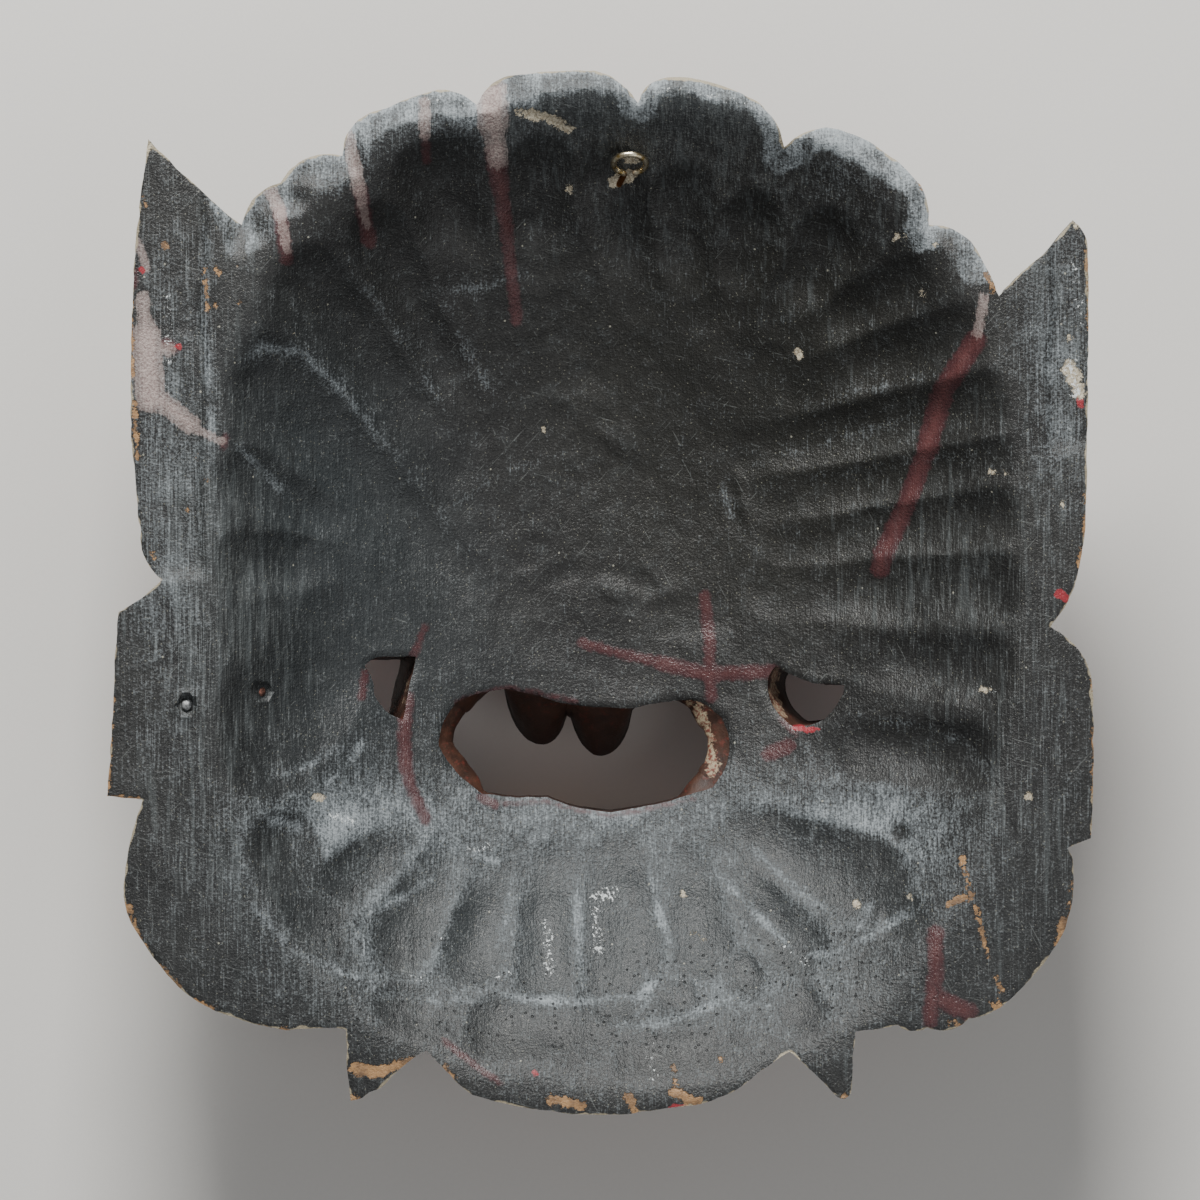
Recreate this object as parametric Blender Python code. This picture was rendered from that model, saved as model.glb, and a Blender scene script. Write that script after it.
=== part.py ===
"""A carved wooden mask lying face down with its hollow up, a screw eye to hang it by and two brads.

Sizes are in millimetres until a mesh is made. The mask is drawn as its back is seen from above:
x to the right, y to the top of the mask, z up. The flat back rim is at z = DEPTH and the highest
points of the face rest on z = 0. "Depth" below means distance in front of the back rim.
"""
import math

import bmesh
import bpy
import numpy as np
from mathutils import Vector, geometry

for thing in list(bpy.data.objects):
    bpy.data.objects.remove(thing, do_unlink=True)

MM = 0.001

# Overall sizes of the mask
WIDTH = 330.0
HEIGHT = 350.0
DEPTH = 104.0

# Wood left between the hollow and the face, and at the outer edge
LEAST_WALL = 12.0
EDGE_THICKNESS = 20.0
EDGE_ROUND = 6.0

# The hollow in the back
HOLLOW_DEPTH = 60.0
HOLLOW_ACROSS = 263.0
HOLLOW_TALL = 327.0
HOLLOW_SHIFT = 5.0
HOLLOW_SQUARENESS = 2.5
HOLLOW_CURVE = 2.4
GOUGE_RADIUS = 22.0

# The worn bevel along the top of the back rim
BEVEL_DROP = 4.0
BEVEL_REACH = 10.0

# The dome of the face
FACE_ACROSS = 286.0
FACE_TALL = 332.0
FACE_SQUARENESS = 2.4
FACE_RISE = 58.0
FACE_CURVE = 3.0
FORM_ROUNDNESS = 1.15
FORM_BLEND = 2.5
LOCK_GROOVE_DEPTH = 6.0
LOCK_GROOVE_WIDTH = 11.0

# The two upper teeth that hang into the front of the mouth
TOOTH_WIDTH = 22.0
TOOTH_DROP = 17.0
CORNER_HOLE_SLANT = 5.0
CORNER_HOLE_TAPER = 0.85

# Screw eye: bent from one wire, screwed in at a slant
WIRE = 2.1
EYE_OUTSIDE = 13.0
EYE_STAND = 11.5
EYE_LEAN = 32.5
EYE_ROOM = 0.55
EYE_SLANT = 16.7
EYE_BEND = 1.6
EYE_GAP_ANGLE = 27.0
SHANK_LENGTH = 13.0

# Brads, their heads sunk in small round pits
BRAD_HEAD = 3.6
BRAD_DOME = 1.1
BRAD_SHANK = 1.6
BRAD_LENGTH = 10.0
BRAD_PIT = 6.4
BRAD_PIT_DEPTH = 1.6

# Fit and facet sizes
CLEARANCE = 0.3
OUTLINE_STEP = 6.0
HOLE_STEP = 4.0
BACK_STEP = 6.6
FACE_STEP = 7.0
RING_SIDES = 10
RING_STEPS = 22
BRAD_SIDES = 14

# The plan below is drawn on this grid and scaled to WIDTH and HEIGHT
PLAN_WIDTH = 330.0
PLAN_HEIGHT = 350.0

# Corners of the outline, clockwise from the tip of the left ear: x, y and how far the arc to the
# next corner bows outward.
OUTLINE = [
    (-151.0, 151.5, -0.5), (-120.0, 123.0, 3.0), (-107.0, 137.0, 4.0), (-86.5, 146.0, 4.0),
    (-73.0, 161.5, 0.5), (-54.5, 168.0, 1.5), (-41.5, 163.5, 2.0), (-29.5, 173.0, 0.5),
    (-2.0, 174.5, 2.0), (12.5, 163.5, 2.0), (21.0, 172.0, 2.0), (48.5, 166.0, 3.0),
    (61.5, 149.0, 1.5), (75.5, 155.5, 1.5), (93.0, 148.5, 1.0), (107.0, 136.0, 1.0),
    (110.0, 123.0, 1.5), (124.0, 117.5, 0.5), (133.0, 99.5, 0.5), (148.0, 113.5, 0.0),
    (157.5, 124.5, 1.5), (163.0, 114.5, 0.5), (162.0, 20.5, 0.5), (158.0, 0.5, 0.5),
    (150.5, -11.5, 4.0), (164.5, -34.5, 0.5), (164.0, -82.5, 0.0), (156.0, -85.5, 1.0),
    (158.0, -94.5, 2.0), (152.0, -118.5, 0.5), (139.5, -133.5, 2.0), (123.0, -142.5, 2.5),
    (109.0, -145.5, 2.0), (99.0, -145.0, 0.0), (85.5, -147.0, 0.0), (84.0, -167.5, 2.0),
    (77.5, -167.5, -0.5), (63.0, -154.0, -0.5), (49.5, -164.0, 2.0), (22.0, -172.5, 1.0),
    (-9.5, -174.5, 1.0), (-43.0, -168.0, 0.5), (-58.0, -153.5, -0.5), (-72.0, -164.5, 1.0),
    (-83.5, -170.0, 0.5), (-85.0, -146.0, -0.5), (-105.0, -146.5, 1.0), (-132.0, -138.5, 1.0),
    (-146.5, -125.5, 0.5), (-156.5, -111.0, 1.5), (-159.0, -94.5, 1.0), (-153.0, -69.5, 0.0),
    (-165.0, -68.5, -0.5), (-162.0, -12.5, 0.0), (-161.0, -6.5, -0.5), (-147.0, 4.0, 1.5),
    (-154.0, 18.0, 0.0), (-157.0, 50.5, 0.5), (-156.0, 110.5, 0.5),
]

# The mouth and the two small holes beside it, in the same form
MOUTH = [
    (-54.5, -52.0, 1.5), (-49.0, -38.0, 1.0), (-32.0, -33.5, 0.5), (-13.0, -38.5, -0.5),
    (11.0, -40.0, 0.5), (31.0, -37.0, 4.0), (43.5, -54.0, 1.0), (38.0, -66.0, 1.0),
    (4.0, -74.5, 1.0), (-18.0, -69.5, 0.5), (-40.0, -68.0, 1.5),
]
LEFT_CORNER = [
    (-79.5, -25.0, 1.0), (-72.0, -22.3, 0.0), (-63.2, -22.3, -0.3), (-67.2, -43.0, 1.5),
    (-76.0, -34.0, -0.5),
]
RIGHT_CORNER = [
    (59.8, -25.7, -0.5), (72.8, -31.7, 0.0), (82.5, -31.7, 1.0), (76.2, -42.0, 1.0),
    (65.8, -45.3, 1.5), (57.5, -33.7, 1.0),
]

# Gouge cuts in the hollow: the outer end x, y, the inner end x, y and the width of the cut.
SCOOPS = [
    (-50, 142, -47, 104, 25), (-20, 143, -22, 109, 23), (6, 145, 13, 101, 26),
    (28, 136, 33, 97, 22), (52, 126, 46, 97, 20), (76, 116, 63, 94, 20), (95, 101, 66, 89, 18),
    (125, 89, 66, 67, 20), (133, 62, 48, 44, 20), (135, 43, 56, 31, 17), (133, 24, 63, 16, 18),
    (132, 1, 60, 1, 22), (126, -27, 86, -23, 19), (122, -55, 78, -53, 20), (90, -96, 48, -84, 27),
    (102, -81, 98, -83, 20), (100, -109, 95, -108, 17), (66, -119, 48, -98, 18),
    (35, -123, 30, -93, 20), (6, -136, 6, -86, 25), (-18, -136, -18, -89, 20),
    (-45, -124, -37, -96, 21), (-67, -119, -57, -93, 21), (-90, -103, -67, -83, 20),
    (-113, -49, -84, -13, 37), (-118, 9, -90, 11, 20), (-115, 37, -84, 24, 20),
    (-113, 71, -50, 4, 28), (-98, 102, -50, 44, 24), (-74, 119, -46, 54, 20),
    (-35, -146, -5, -147, 18), (26, -138, 33, -137, 15), (48, -128, 53, -125, 15),
    (66, -141, 73, -136, 15), (-67, -139, -57, -144, 17), (13, -156, 40, -153, 17),
    (-107, -86, -90, -123, 23),
]

# Raised and sunk forms of the face: x, y, half width, half height, turn in degrees, rise and
# whether the form is also on the other side.
FORMS = [
    (50, 66, 46, 20, 16, 40, True),
    (50, 30, 24, 19, 10, 22, True),
    (51, 29, 7, 7, 0, -6, True),
    (0, 28, 16, 42, 0, 22, False),
    (0, -4, 25, 22, 0, 34, False),
    (24, -9, 17, 15, 0, 26, True),
    (0, 104, 22, 26, 0, 16, False),
    (40, -23, 42, 15, -6, 24, True),
    (106, 4, 30, 38, 0, 16, True),
    (112, -96, 38, 40, 0, 20, True),
    (112, -96, 15, 16, 0, 27, True),
    (0, -92, 62, 20, 0, 44, False),
    (0, -130, 36, 28, 0, 22, False),
    (147, 70, 8, 46, 2, -7, True),
]

# Grooves between the locks of the mane: the outer end x, y and the inner end x, y.
LOCK_GROOVES = [
    (-120, 123, -92, 96), (-86, 146, -66, 114), (-42, 164, -34, 128), (13, 164, 10, 132),
    (62, 150, 48, 118), (110, 123, 86, 98), (-153, -69, -128, -62), (156, -86, 130, -72),
    (-85, -146, -72, -122), (86, -147, 74, -122), (-58, -153, -46, -132), (63, -154, 50, -132),
]

SCREW_EYE_AT = (6.5, 137.7)
BRADS_AT = [(-138.0, -37.7), (-114.0, -33.3)]


def to_plan(points):
    """Scale points of the plan grid to the mask's width and height."""
    grid = np.asarray(points, dtype=float)
    return grid * np.array([WIDTH / PLAN_WIDTH, HEIGHT / PLAN_HEIGHT])


def arc_loop(corners, step):
    """A closed loop through the corners along their arcs, with points about one step apart."""
    places = to_plan([corner[:2] for corner in corners])
    loop = []
    for index, corner in enumerate(corners):
        start = places[index]
        chord = places[(index + 1) % len(corners)] - start
        length = math.hypot(chord[0], chord[1])
        outward = np.array([-chord[1], chord[0]]) / length
        half_angle = 2.0 * math.atan(2.0 * corner[2] / length)
        count = max(1, round(length / step))
        for share in np.arange(count) / count:
            along = share
            bow = 0.0
            if abs(half_angle) > 1e-6:
                radius = length / (2.0 * math.sin(half_angle))
                turn = (2.0 * share - 1.0) * half_angle
                along = 0.5 + radius * math.sin(turn) / length
                bow = radius * (math.cos(turn) - math.cos(half_angle))
            loop.append(start + along * chord + bow * outward)
    return np.array(loop)


def distance_to_loop(points, loop):
    """Distance from each point to the nearest side of a closed loop."""
    sides = np.roll(loop, -1, axis=0) - loop
    away = points[:, None, :] - loop[None, :, :]
    share = (away * sides).sum(axis=2) / (sides * sides).sum(axis=1)
    foot = np.clip(share, 0.0, 1.0)[:, :, None] * sides
    return np.sqrt(((away - foot) ** 2).sum(axis=2)).min(axis=1)


def inside_loop(points, loop):
    """True for each point that lies inside a closed loop, by counting crossings."""
    ends = np.roll(loop, -1, axis=0)
    x = points[:, 0][:, None]
    y = points[:, 1][:, None]
    spans = (loop[:, 1] > y) != (ends[:, 1] > y)
    rise = np.where(ends[:, 1] == loop[:, 1], 1e-9, ends[:, 1] - loop[:, 1])
    crossing = loop[:, 0] + (y - loop[:, 1]) * (ends[:, 0] - loop[:, 0]) / rise
    return (spans & (x < crossing)).sum(axis=1) % 2 == 1


def smooth_step(value):
    """Zero below 0, one above 1 and a smooth rise between them."""
    held = np.clip(value, 0.0, 1.0)
    return held * held * (3.0 - 2.0 * held)


def capsule(points, start, end, half_width):
    """How near each point is to a line with round ends: 1 on the line and 0 at its edge."""
    line = end - start
    share = np.clip(((points - start) @ line) / max(line @ line, 1e-9), 0.0, 1.0)
    away = np.hypot(*(points - start - share[:, None] * line).T)
    return np.clip(1.0 - (away / half_width) ** 2, 0.0, 1.0)


def hollow_reach(points):
    """Squarish oval distance from the middle of the hollow, 1 at the hollow's edge."""
    across = np.abs(points[:, 0] - HOLLOW_SHIFT) / (HOLLOW_ACROSS / 2.0)
    tall = np.abs(points[:, 1]) / (HOLLOW_TALL / 2.0)
    return (across ** HOLLOW_SQUARENESS + tall ** HOLLOW_SQUARENESS) ** (1.0 / HOLLOW_SQUARENESS)


def face_depth(points):
    """Depth of the face in front of the back rim, at each point of the plan."""
    across = np.abs(points[:, 0]) / (FACE_ACROSS / 2.0)
    tall = np.abs(points[:, 1]) / (FACE_TALL / 2.0)
    reach = (across ** FACE_SQUARENESS + tall ** FACE_SQUARENESS) ** (1.0 / FACE_SQUARENESS)
    dome = FACE_RISE * np.clip(1.0 - reach ** FACE_CURVE, 0.0, 1.0) ** 0.9
    raised = np.zeros(len(points))
    sunk = np.zeros(len(points))
    for x, y, half_width, half_height, turn, rise, both_sides in FORMS:
        sides = (1.0, -1.0) if both_sides else (1.0,)
        for side in sides:
            middle = to_plan([(x * side, y)])[0]
            angle = math.radians(turn) * side
            dx = points[:, 0] - middle[0]
            dy = points[:, 1] - middle[1]
            u = (dx * math.cos(angle) + dy * math.sin(angle)) / half_width
            v = (dy * math.cos(angle) - dx * math.sin(angle)) / half_height
            form = abs(rise) * np.clip(1.0 - u * u - v * v, 0.0, 1.0) ** FORM_ROUNDNESS
            if rise > 0.0:
                raised = raised + form ** FORM_BLEND
            else:
                sunk = np.maximum(sunk, form)
    depth = EDGE_THICKNESS + dome + raised ** (1.0 / FORM_BLEND) - sunk
    for x0, y0, x1, y1 in LOCK_GROOVES:
        ends = to_plan([(x0, y0), (x1, y1)])
        groove = capsule(points, ends[0], ends[1], LOCK_GROOVE_WIDTH / 2.0)
        depth = depth - LOCK_GROOVE_DEPTH * groove
    from_edge = distance_to_loop(points, OUTLINE_LOOP)
    depth = depth - EDGE_ROUND * np.clip(1.0 - from_edge / EDGE_ROUND, 0.0, 1.0) ** 2
    return np.clip(depth, EDGE_THICKNESS / 2.0, DEPTH)


def back_depth(points):
    """Depth of the back surface below the rim: the hollow, its gouge cuts and the top bevel."""
    reach = np.clip(hollow_reach(points), 0.0, 1.0)
    bowl = HOLLOW_DEPTH * (1.0 - reach ** HOLLOW_CURVE)
    cut = np.zeros(len(points))
    for x0, y0, x1, y1, width in SCOOPS:
        ends = to_plan([(x0, y0), (x1, y1)])
        scoop_depth = width * width / (8.0 * GOUGE_RADIUS)
        cut = np.maximum(cut, scoop_depth * capsule(points, ends[0], ends[1], width / 2.0))
    depth = bowl + cut * smooth_step((1.0 - reach) / 0.06)
    top = smooth_step((points[:, 1] - 0.26 * HEIGHT) / 16.0)
    top = top * smooth_step((0.41 * WIDTH - np.abs(points[:, 0])) / 12.0)
    from_edge = distance_to_loop(points, OUTLINE_LOOP)
    bevel = BEVEL_DROP * np.clip(1.0 - from_edge / BEVEL_REACH, 0.0, 1.0) ** 1.5
    depth = np.maximum(depth, bevel * top)
    return np.clip(depth, 0.0, np.maximum(face_depth(points) - LEAST_WALL, 0.0))


OUTLINE_LOOP = arc_loop(OUTLINE, OUTLINE_STEP)
MOUTH_LOOP = arc_loop(MOUTH, HOLE_STEP)
LEFT_LOOP = arc_loop(LEFT_CORNER, HOLE_STEP)
RIGHT_LOOP = arc_loop(RIGHT_CORNER, HOLE_STEP)


def mouth_front():
    """The mouth's edge in the face: the back edge, with two teeth hanging from its upper lip."""
    loop = MOUTH_LOOP.copy()
    middle = MOUTH_LOOP.mean(axis=0)
    upper = smooth_step((loop[:, 1] - middle[1]) / 10.0)
    for tooth in (-1.0, 0.0):
        from_middle = (loop[:, 0] - tooth * TOOTH_WIDTH) / (TOOTH_WIDTH / 2.0)
        loop[:, 1] -= TOOTH_DROP * upper * np.clip(1.0 - from_middle ** 2, 0.0, 1.0)
    return loop


def corner_front(loop):
    """A corner hole's edge in the face: smaller than in the back and slanted away outward."""
    middle = loop.mean(axis=0)
    side = math.copysign(1.0, middle[0])
    shift = np.array([side * CORNER_HOLE_SLANT, 0.0])
    return middle + shift + (loop - middle) * CORNER_HOLE_TAPER


def thin_out(wanted, taken, gap):
    """Add each wanted point in turn that is at least one gap from every point taken so far."""
    kept = list(taken)
    for point in wanted:
        near = np.array(kept)
        if ((near - point) ** 2).sum(axis=1).min() >= gap * gap:
            kept.append(point)
    return kept


def hex_points(step):
    """Points of an even triangular grid over the whole mask."""
    rows = []
    row_height = step * math.sqrt(3.0) / 2.0
    for row in range(int(HEIGHT / row_height) + 2):
        y = -HEIGHT / 2.0 + row * row_height
        shift = step / 2.0 * (row % 2)
        x = np.arange(-WIDTH / 2.0 + shift, WIDTH / 2.0, step)
        rows.append(np.column_stack([x, np.full(len(x), y)]))
    return np.vstack(rows)


def line_points(start, end, step):
    """Points along a straight line, about one step apart, with both ends."""
    count = max(1, round(math.hypot(*(end - start)) / step))
    share = np.linspace(0.0, 1.0, count + 1)[:, None]
    return start + share * (end - start)


def inset_loop(loop, inset):
    """The loop's points moved inward by the inset, where they stay clear of the loop."""
    along = np.roll(loop, -1, axis=0) - np.roll(loop, 1, axis=0)
    inward = np.column_stack([along[:, 1], -along[:, 0]])
    inward = inward / np.hypot(inward[:, 0], inward[:, 1])[:, None]
    moved = loop + inset * inward
    clear = inside_loop(moved, loop) & (distance_to_loop(moved, loop) > 0.8 * inset)
    return moved[clear]


def squarish_oval(across, tall, squareness, step):
    """Points round the edge of a squarish oval about the middle, about one step apart."""
    count = max(16, round(math.pi * (across + tall) / 2.0 / step))
    angle = np.arange(count) * 2.0 * math.pi / count
    power = 2.0 / squareness
    x = np.sign(np.cos(angle)) * np.abs(np.cos(angle)) ** power * across / 2.0
    y = np.sign(np.sin(angle)) * np.abs(np.sin(angle)) ** power * tall / 2.0
    return np.column_stack([x, y])


def oval_points(middle, half_width, half_height, turn, step):
    """Points round a turned oval, about one step apart."""
    count = max(8, round(math.pi * (half_width + half_height) / step))
    angle = np.arange(count) * 2.0 * math.pi / count
    u = half_width * np.cos(angle)
    v = half_height * np.sin(angle)
    x = u * math.cos(turn) - v * math.sin(turn)
    y = u * math.sin(turn) + v * math.cos(turn)
    return middle + np.column_stack([x, y])


def back_wishes():
    """Where the back wants points first: the bevel, the hollow's edge, each cut and its edges."""
    wishes = []
    for inset in (BEVEL_REACH, BEVEL_REACH / 2.0):
        ring = inset_loop(OUTLINE_LOOP, inset)
        wishes.append(ring[ring[:, 1] > 0.24 * HEIGHT])
    for share in (1.0, 0.96):
        wishes.append(squarish_oval(HOLLOW_ACROSS * share, HOLLOW_TALL * share,
                                    HOLLOW_SQUARENESS, BACK_STEP) + [HOLLOW_SHIFT, 0.0])
    cuts = []
    for x0, y0, x1, y1, width in SCOOPS:
        start, end = to_plan([(x0, y0), (x1, y1)])
        line = (end - start) / max(math.hypot(*(end - start)), 1e-9)
        across = np.array([-line[1], line[0]]) * width / 2.0
        cuts.append(line_points(start, end, BACK_STEP))
        cuts.append(line_points(start + across, end + across, BACK_STEP))
        cuts.append(line_points(start - across, end - across, BACK_STEP))
        cuts.append(np.array([start - line * width / 2.0, end + line * width / 2.0]))
    cuts = np.vstack(cuts)
    return np.vstack(wishes + [cuts[hollow_reach(cuts) < 0.99]])


def face_wishes():
    """Where the face wants points first: its rounded edge, the grooves and every form."""
    wishes = [inset_loop(OUTLINE_LOOP, EDGE_ROUND)]
    for share in (1.0, 0.95):
        wishes.append(squarish_oval(FACE_ACROSS * share, FACE_TALL * share, FACE_SQUARENESS,
                                    FACE_STEP))
    for x0, y0, x1, y1 in LOCK_GROOVES:
        start, end = to_plan([(x0, y0), (x1, y1)])
        line = (end - start) / math.hypot(*(end - start))
        across = np.array([-line[1], line[0]]) * LOCK_GROOVE_WIDTH / 2.0
        for shift in (-1.0, 0.0, 1.0):
            wishes.append(line_points(start + shift * across, end + shift * across, FACE_STEP))
    for x, y, half_width, half_height, turn, rise, both_sides in FORMS:
        sides = (1.0, -1.0) if both_sides else (1.0,)
        for side in sides:
            middle = to_plan([(x * side, y)])[0]
            angle = math.radians(turn) * side
            wishes.append(middle[None, :])
            for share in (1.0, 0.72, 0.4):
                wishes.append(oval_points(middle, share * half_width, share * half_height, angle,
                                          FACE_STEP))
    return np.vstack(wishes)


def lay_surface(loops, wishes, fill, step, flat_test):
    """Triangles over the plan inside the first loop and outside the others.

    Wished points come first, then the even fill; points nearer than about half a step to a loop or
    to each other are left out. Fill points for which flat_test is true are left out as well.
    """
    taken = [point for loop in loops for point in loop]
    fill = fill[~flat_test(fill)]
    wanted = np.vstack([wishes, fill])
    keep = inside_loop(wanted, loops[0])
    keep &= distance_to_loop(wanted, loops[0]) > 0.45 * step
    for hole in loops[1:]:
        keep &= ~inside_loop(wanted, hole)
        keep &= distance_to_loop(wanted, hole) > 0.45 * step
    taken = thin_out(wanted[keep], taken, 0.62 * step)
    edges = []
    first = 0
    for loop in loops:
        count = len(loop)
        edges += [(first + index, first + (index + 1) % count) for index in range(count)]
        first += count
    plan = [Vector(point) for point in taken]
    result = geometry.delaunay_2d_cdt(plan, edges, [], 0, 1e-6)
    points = np.array([tuple(place) for place in result[0]])
    faces = np.array([face for face in result[2] if len(face) == 3])
    middles = points[faces].mean(axis=1)
    keep = inside_loop(middles, loops[0])
    for hole in loops[1:]:
        keep &= ~inside_loop(middles, hole)
    return points, faces[keep]


def mask_body():
    """The solid wood: back surface, face surface, outer edge and the walls of three holes."""
    back_loops = [OUTLINE_LOOP, MOUTH_LOOP, LEFT_LOOP, RIGHT_LOOP]
    face_loops = [OUTLINE_LOOP, mouth_front(), corner_front(LEFT_LOOP), corner_front(RIGHT_LOOP)]
    back, back_faces = lay_surface(
        back_loops, back_wishes(), hex_points(BACK_STEP), BACK_STEP,
        lambda points: hollow_reach(points) > 0.99)
    face, face_faces = lay_surface(
        face_loops, face_wishes(), hex_points(FACE_STEP), FACE_STEP,
        lambda points: np.zeros(len(points), dtype=bool))
    back_heights = DEPTH - back_depth(back)
    face_heights = DEPTH - face_depth(face)
    places = np.vstack([
        np.column_stack([back, back_heights]),
        np.column_stack([face, face_heights])])
    shift = len(back)
    faces = [tuple(corner) for corner in back_faces]
    faces += [tuple(corner + shift) for corner in face_faces[:, ::-1]]
    first = 0
    for loop in back_loops:
        count = len(loop)
        for index in range(count):
            here = first + index
            then = first + (index + 1) % count
            faces.append((here, then, then + shift))
            faces.append((here, then + shift, here + shift))
        first += count
    return places, faces


def cylinder(foot, direction, radius, length, sides):
    """A round bar from its foot along a direction."""
    profile = [(0.0, radius), (length, radius)]
    return turned(foot, direction, profile, sides)


def turned(foot, direction, profile, sides):
    """A body turned about an axis from a profile of (distance along, radius), closed at its ends."""
    axis = Vector(direction).normalized()
    side = axis.orthogonal().normalized()
    other = axis.cross(side)
    places = []
    faces = []
    for along, radius in profile:
        for index in range(sides):
            angle = 2.0 * math.pi * index / sides
            spoke = side * math.cos(angle) + other * math.sin(angle)
            places.append(Vector(foot) + axis * along + spoke * radius)
    for ring in range(len(profile) - 1):
        for index in range(sides):
            here = ring * sides + index
            beside = ring * sides + (index + 1) % sides
            faces.append((here, beside, beside + sides, here + sides))
    faces.append(tuple(reversed(range(sides))))
    faces.append(tuple(range((len(profile) - 1) * sides, len(profile) * sides)))
    return places, faces


def swept_wire(path, across, radius, sides):
    """A round wire along a path that lies in one plane, where across is the plane's normal."""
    places = []
    faces = []
    for index, place in enumerate(path):
        before = path[max(index - 1, 0)]
        after = path[min(index + 1, len(path) - 1)]
        along = (after - before).normalized()
        side = along.cross(across).normalized()
        for turn in range(sides):
            angle = 2.0 * math.pi * turn / sides
            places.append(place + radius * (side * math.cos(angle) + across * math.sin(angle)))
    for ring in range(len(path) - 1):
        for index in range(sides):
            here = ring * sides + index
            beside = ring * sides + (index + 1) % sides
            faces.append((here, beside, beside + sides, here + sides))
    faces.append(tuple(reversed(range(sides))))
    faces.append(tuple(range((len(path) - 1) * sides, len(path) * sides)))
    return places, faces


def back_place(spot):
    """The point of the back surface at a spot of the plan, and the smooth bowl's normal there."""
    plan = to_plan([spot])
    nudge = 2.0
    around = np.vstack([plan, plan + [[nudge, 0.0]], plan + [[0.0, nudge]]])
    depth = back_depth(around)
    place = Vector((plan[0, 0], plan[0, 1], DEPTH - depth[0]))
    slope_x = -(depth[1] - depth[0]) / nudge
    slope_y = -(depth[2] - depth[0]) / nudge
    normal = Vector((-slope_x, -slope_y, 1.0)).normalized()
    return place, normal


def eye_path(entry, axis, left):
    """The screw eye's centre line: shank, a small bend at the neck and an almost closed ring."""
    radius = (EYE_OUTSIDE - WIRE) / 2.0
    bend_start = EYE_STAND - math.sqrt(radius * radius + 2.0 * EYE_BEND * radius)
    join = math.asin(EYE_BEND / (EYE_BEND + radius))
    flat = [(-SHANK_LENGTH, 0.0), (0.0, 0.0)]
    for step in range(6):
        turn = (math.pi / 2.0 - join) * step / 6.0
        flat.append((bend_start + EYE_BEND * math.sin(turn), EYE_BEND * (1.0 - math.cos(turn))))
    last = 2.0 * math.pi - math.radians(EYE_GAP_ANGLE)
    for step in range(RING_STEPS + 1):
        turn = join + (last - join) * step / RING_STEPS
        flat.append((EYE_STAND - radius * math.cos(turn), radius * math.sin(turn)))
    return [entry + axis * along + left * beside for along, beside in flat]


def eye_frame():
    """The screw eye's entry point, its own axis, and the sideways direction of its ring.

    It leans to the top by EYE_LEAN, or by less where its ring would come within EYE_ROOM of the
    wood.
    """
    entry, _ = back_place(SCREW_EYE_AT)
    slant = math.radians(EYE_SLANT)
    sideways = Vector((1.0, 0.0, 0.0))
    spread = np.arange(-EYE_OUTSIDE, EYE_OUTSIDE, WIRE / 4.0)
    across, tall = np.meshgrid(entry.x + spread, entry.y + EYE_OUTSIDE / 2.0 + spread)
    plan = np.column_stack([across.ravel(), tall.ravel()])
    wood = np.column_stack([plan, DEPTH - back_depth(plan)])
    for lean in np.arange(EYE_LEAN, 0.0, -1.5):
        angle = math.radians(lean)
        upright = Vector((0.0, math.sin(angle), math.cos(angle)))
        axis = upright * math.cos(slant) + sideways * math.sin(slant)
        left = upright * math.sin(slant) - sideways * math.cos(slant)
        ring = np.array(eye_path(entry, axis, left)[-RING_STEPS:])
        away = np.sqrt(((ring[:, None, :] - wood[None, :, :]) ** 2).sum(axis=2)).min()
        if away > WIRE / 2.0 + EYE_ROOM:
            break
    return entry, axis, left


def screw_eye():
    """The bent wire of the screw eye."""
    entry, axis, left = eye_frame()
    path = eye_path(entry, axis, left)
    return swept_wire(path, axis.cross(left), WIRE / 2.0, RING_SIDES)


def brad(spot):
    """A brad with a domed head, standing square to the wood in the bottom of its pit."""
    surface, normal = back_place(spot)
    seat = surface - normal * (BRAD_PIT_DEPTH - CLEARANCE)
    head = BRAD_HEAD / 2.0
    shank = BRAD_SHANK / 2.0
    profile = [
        (-BRAD_LENGTH, shank * 0.35), (-BRAD_LENGTH + 2.0 * shank, shank), (0.0, shank),
        (0.0, head), (0.35 * BRAD_DOME, head), (0.8 * BRAD_DOME, 0.65 * head),
        (BRAD_DOME, 0.25 * head)]
    return turned(seat, normal, profile, BRAD_SIDES)


def make_object(name, places, faces):
    """A mesh object in metres, with its faces turned to point outward."""
    mesh = bpy.data.meshes.new(name)
    scaled = [tuple(float(value) * MM for value in place) for place in places]
    mesh.from_pydata(scaled, [], [tuple(int(corner) for corner in face) for face in faces])
    body = bmesh.new()
    body.from_mesh(mesh)
    bmesh.ops.recalc_face_normals(body, faces=body.faces)
    body.to_mesh(mesh)
    body.free()
    thing = bpy.data.objects.new(name, mesh)
    bpy.context.collection.objects.link(thing)
    return thing


def paint(thing, name, colour, metallic, roughness):
    """Give the object its own plain material."""
    material = bpy.data.materials.new(name)
    material.use_nodes = True
    shader = material.node_tree.nodes["Principled BSDF"]
    shader.inputs["Base Color"].default_value = (*colour, 1.0)
    shader.inputs["Metallic"].default_value = metallic
    shader.inputs["Roughness"].default_value = roughness
    thing.data.materials.append(material)


def cut_away(thing, cutter):
    """Take the cutter's room out of the object."""
    step = thing.modifiers.new(cutter.name, "BOOLEAN")
    step.operation = "DIFFERENCE"
    step.solver = "EXACT"
    step.object = cutter
    cutter.hide_render = True
    cutter.display_type = "WIRE"


mask = make_object("mask", *mask_body())
paint(mask, "dark painted wood", (0.035, 0.04, 0.045), 0.0, 0.6)

eye = make_object("screw_eye", *screw_eye())
paint(eye, "worn nickel on brass", (0.62, 0.55, 0.4), 1.0, 0.35)

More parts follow.
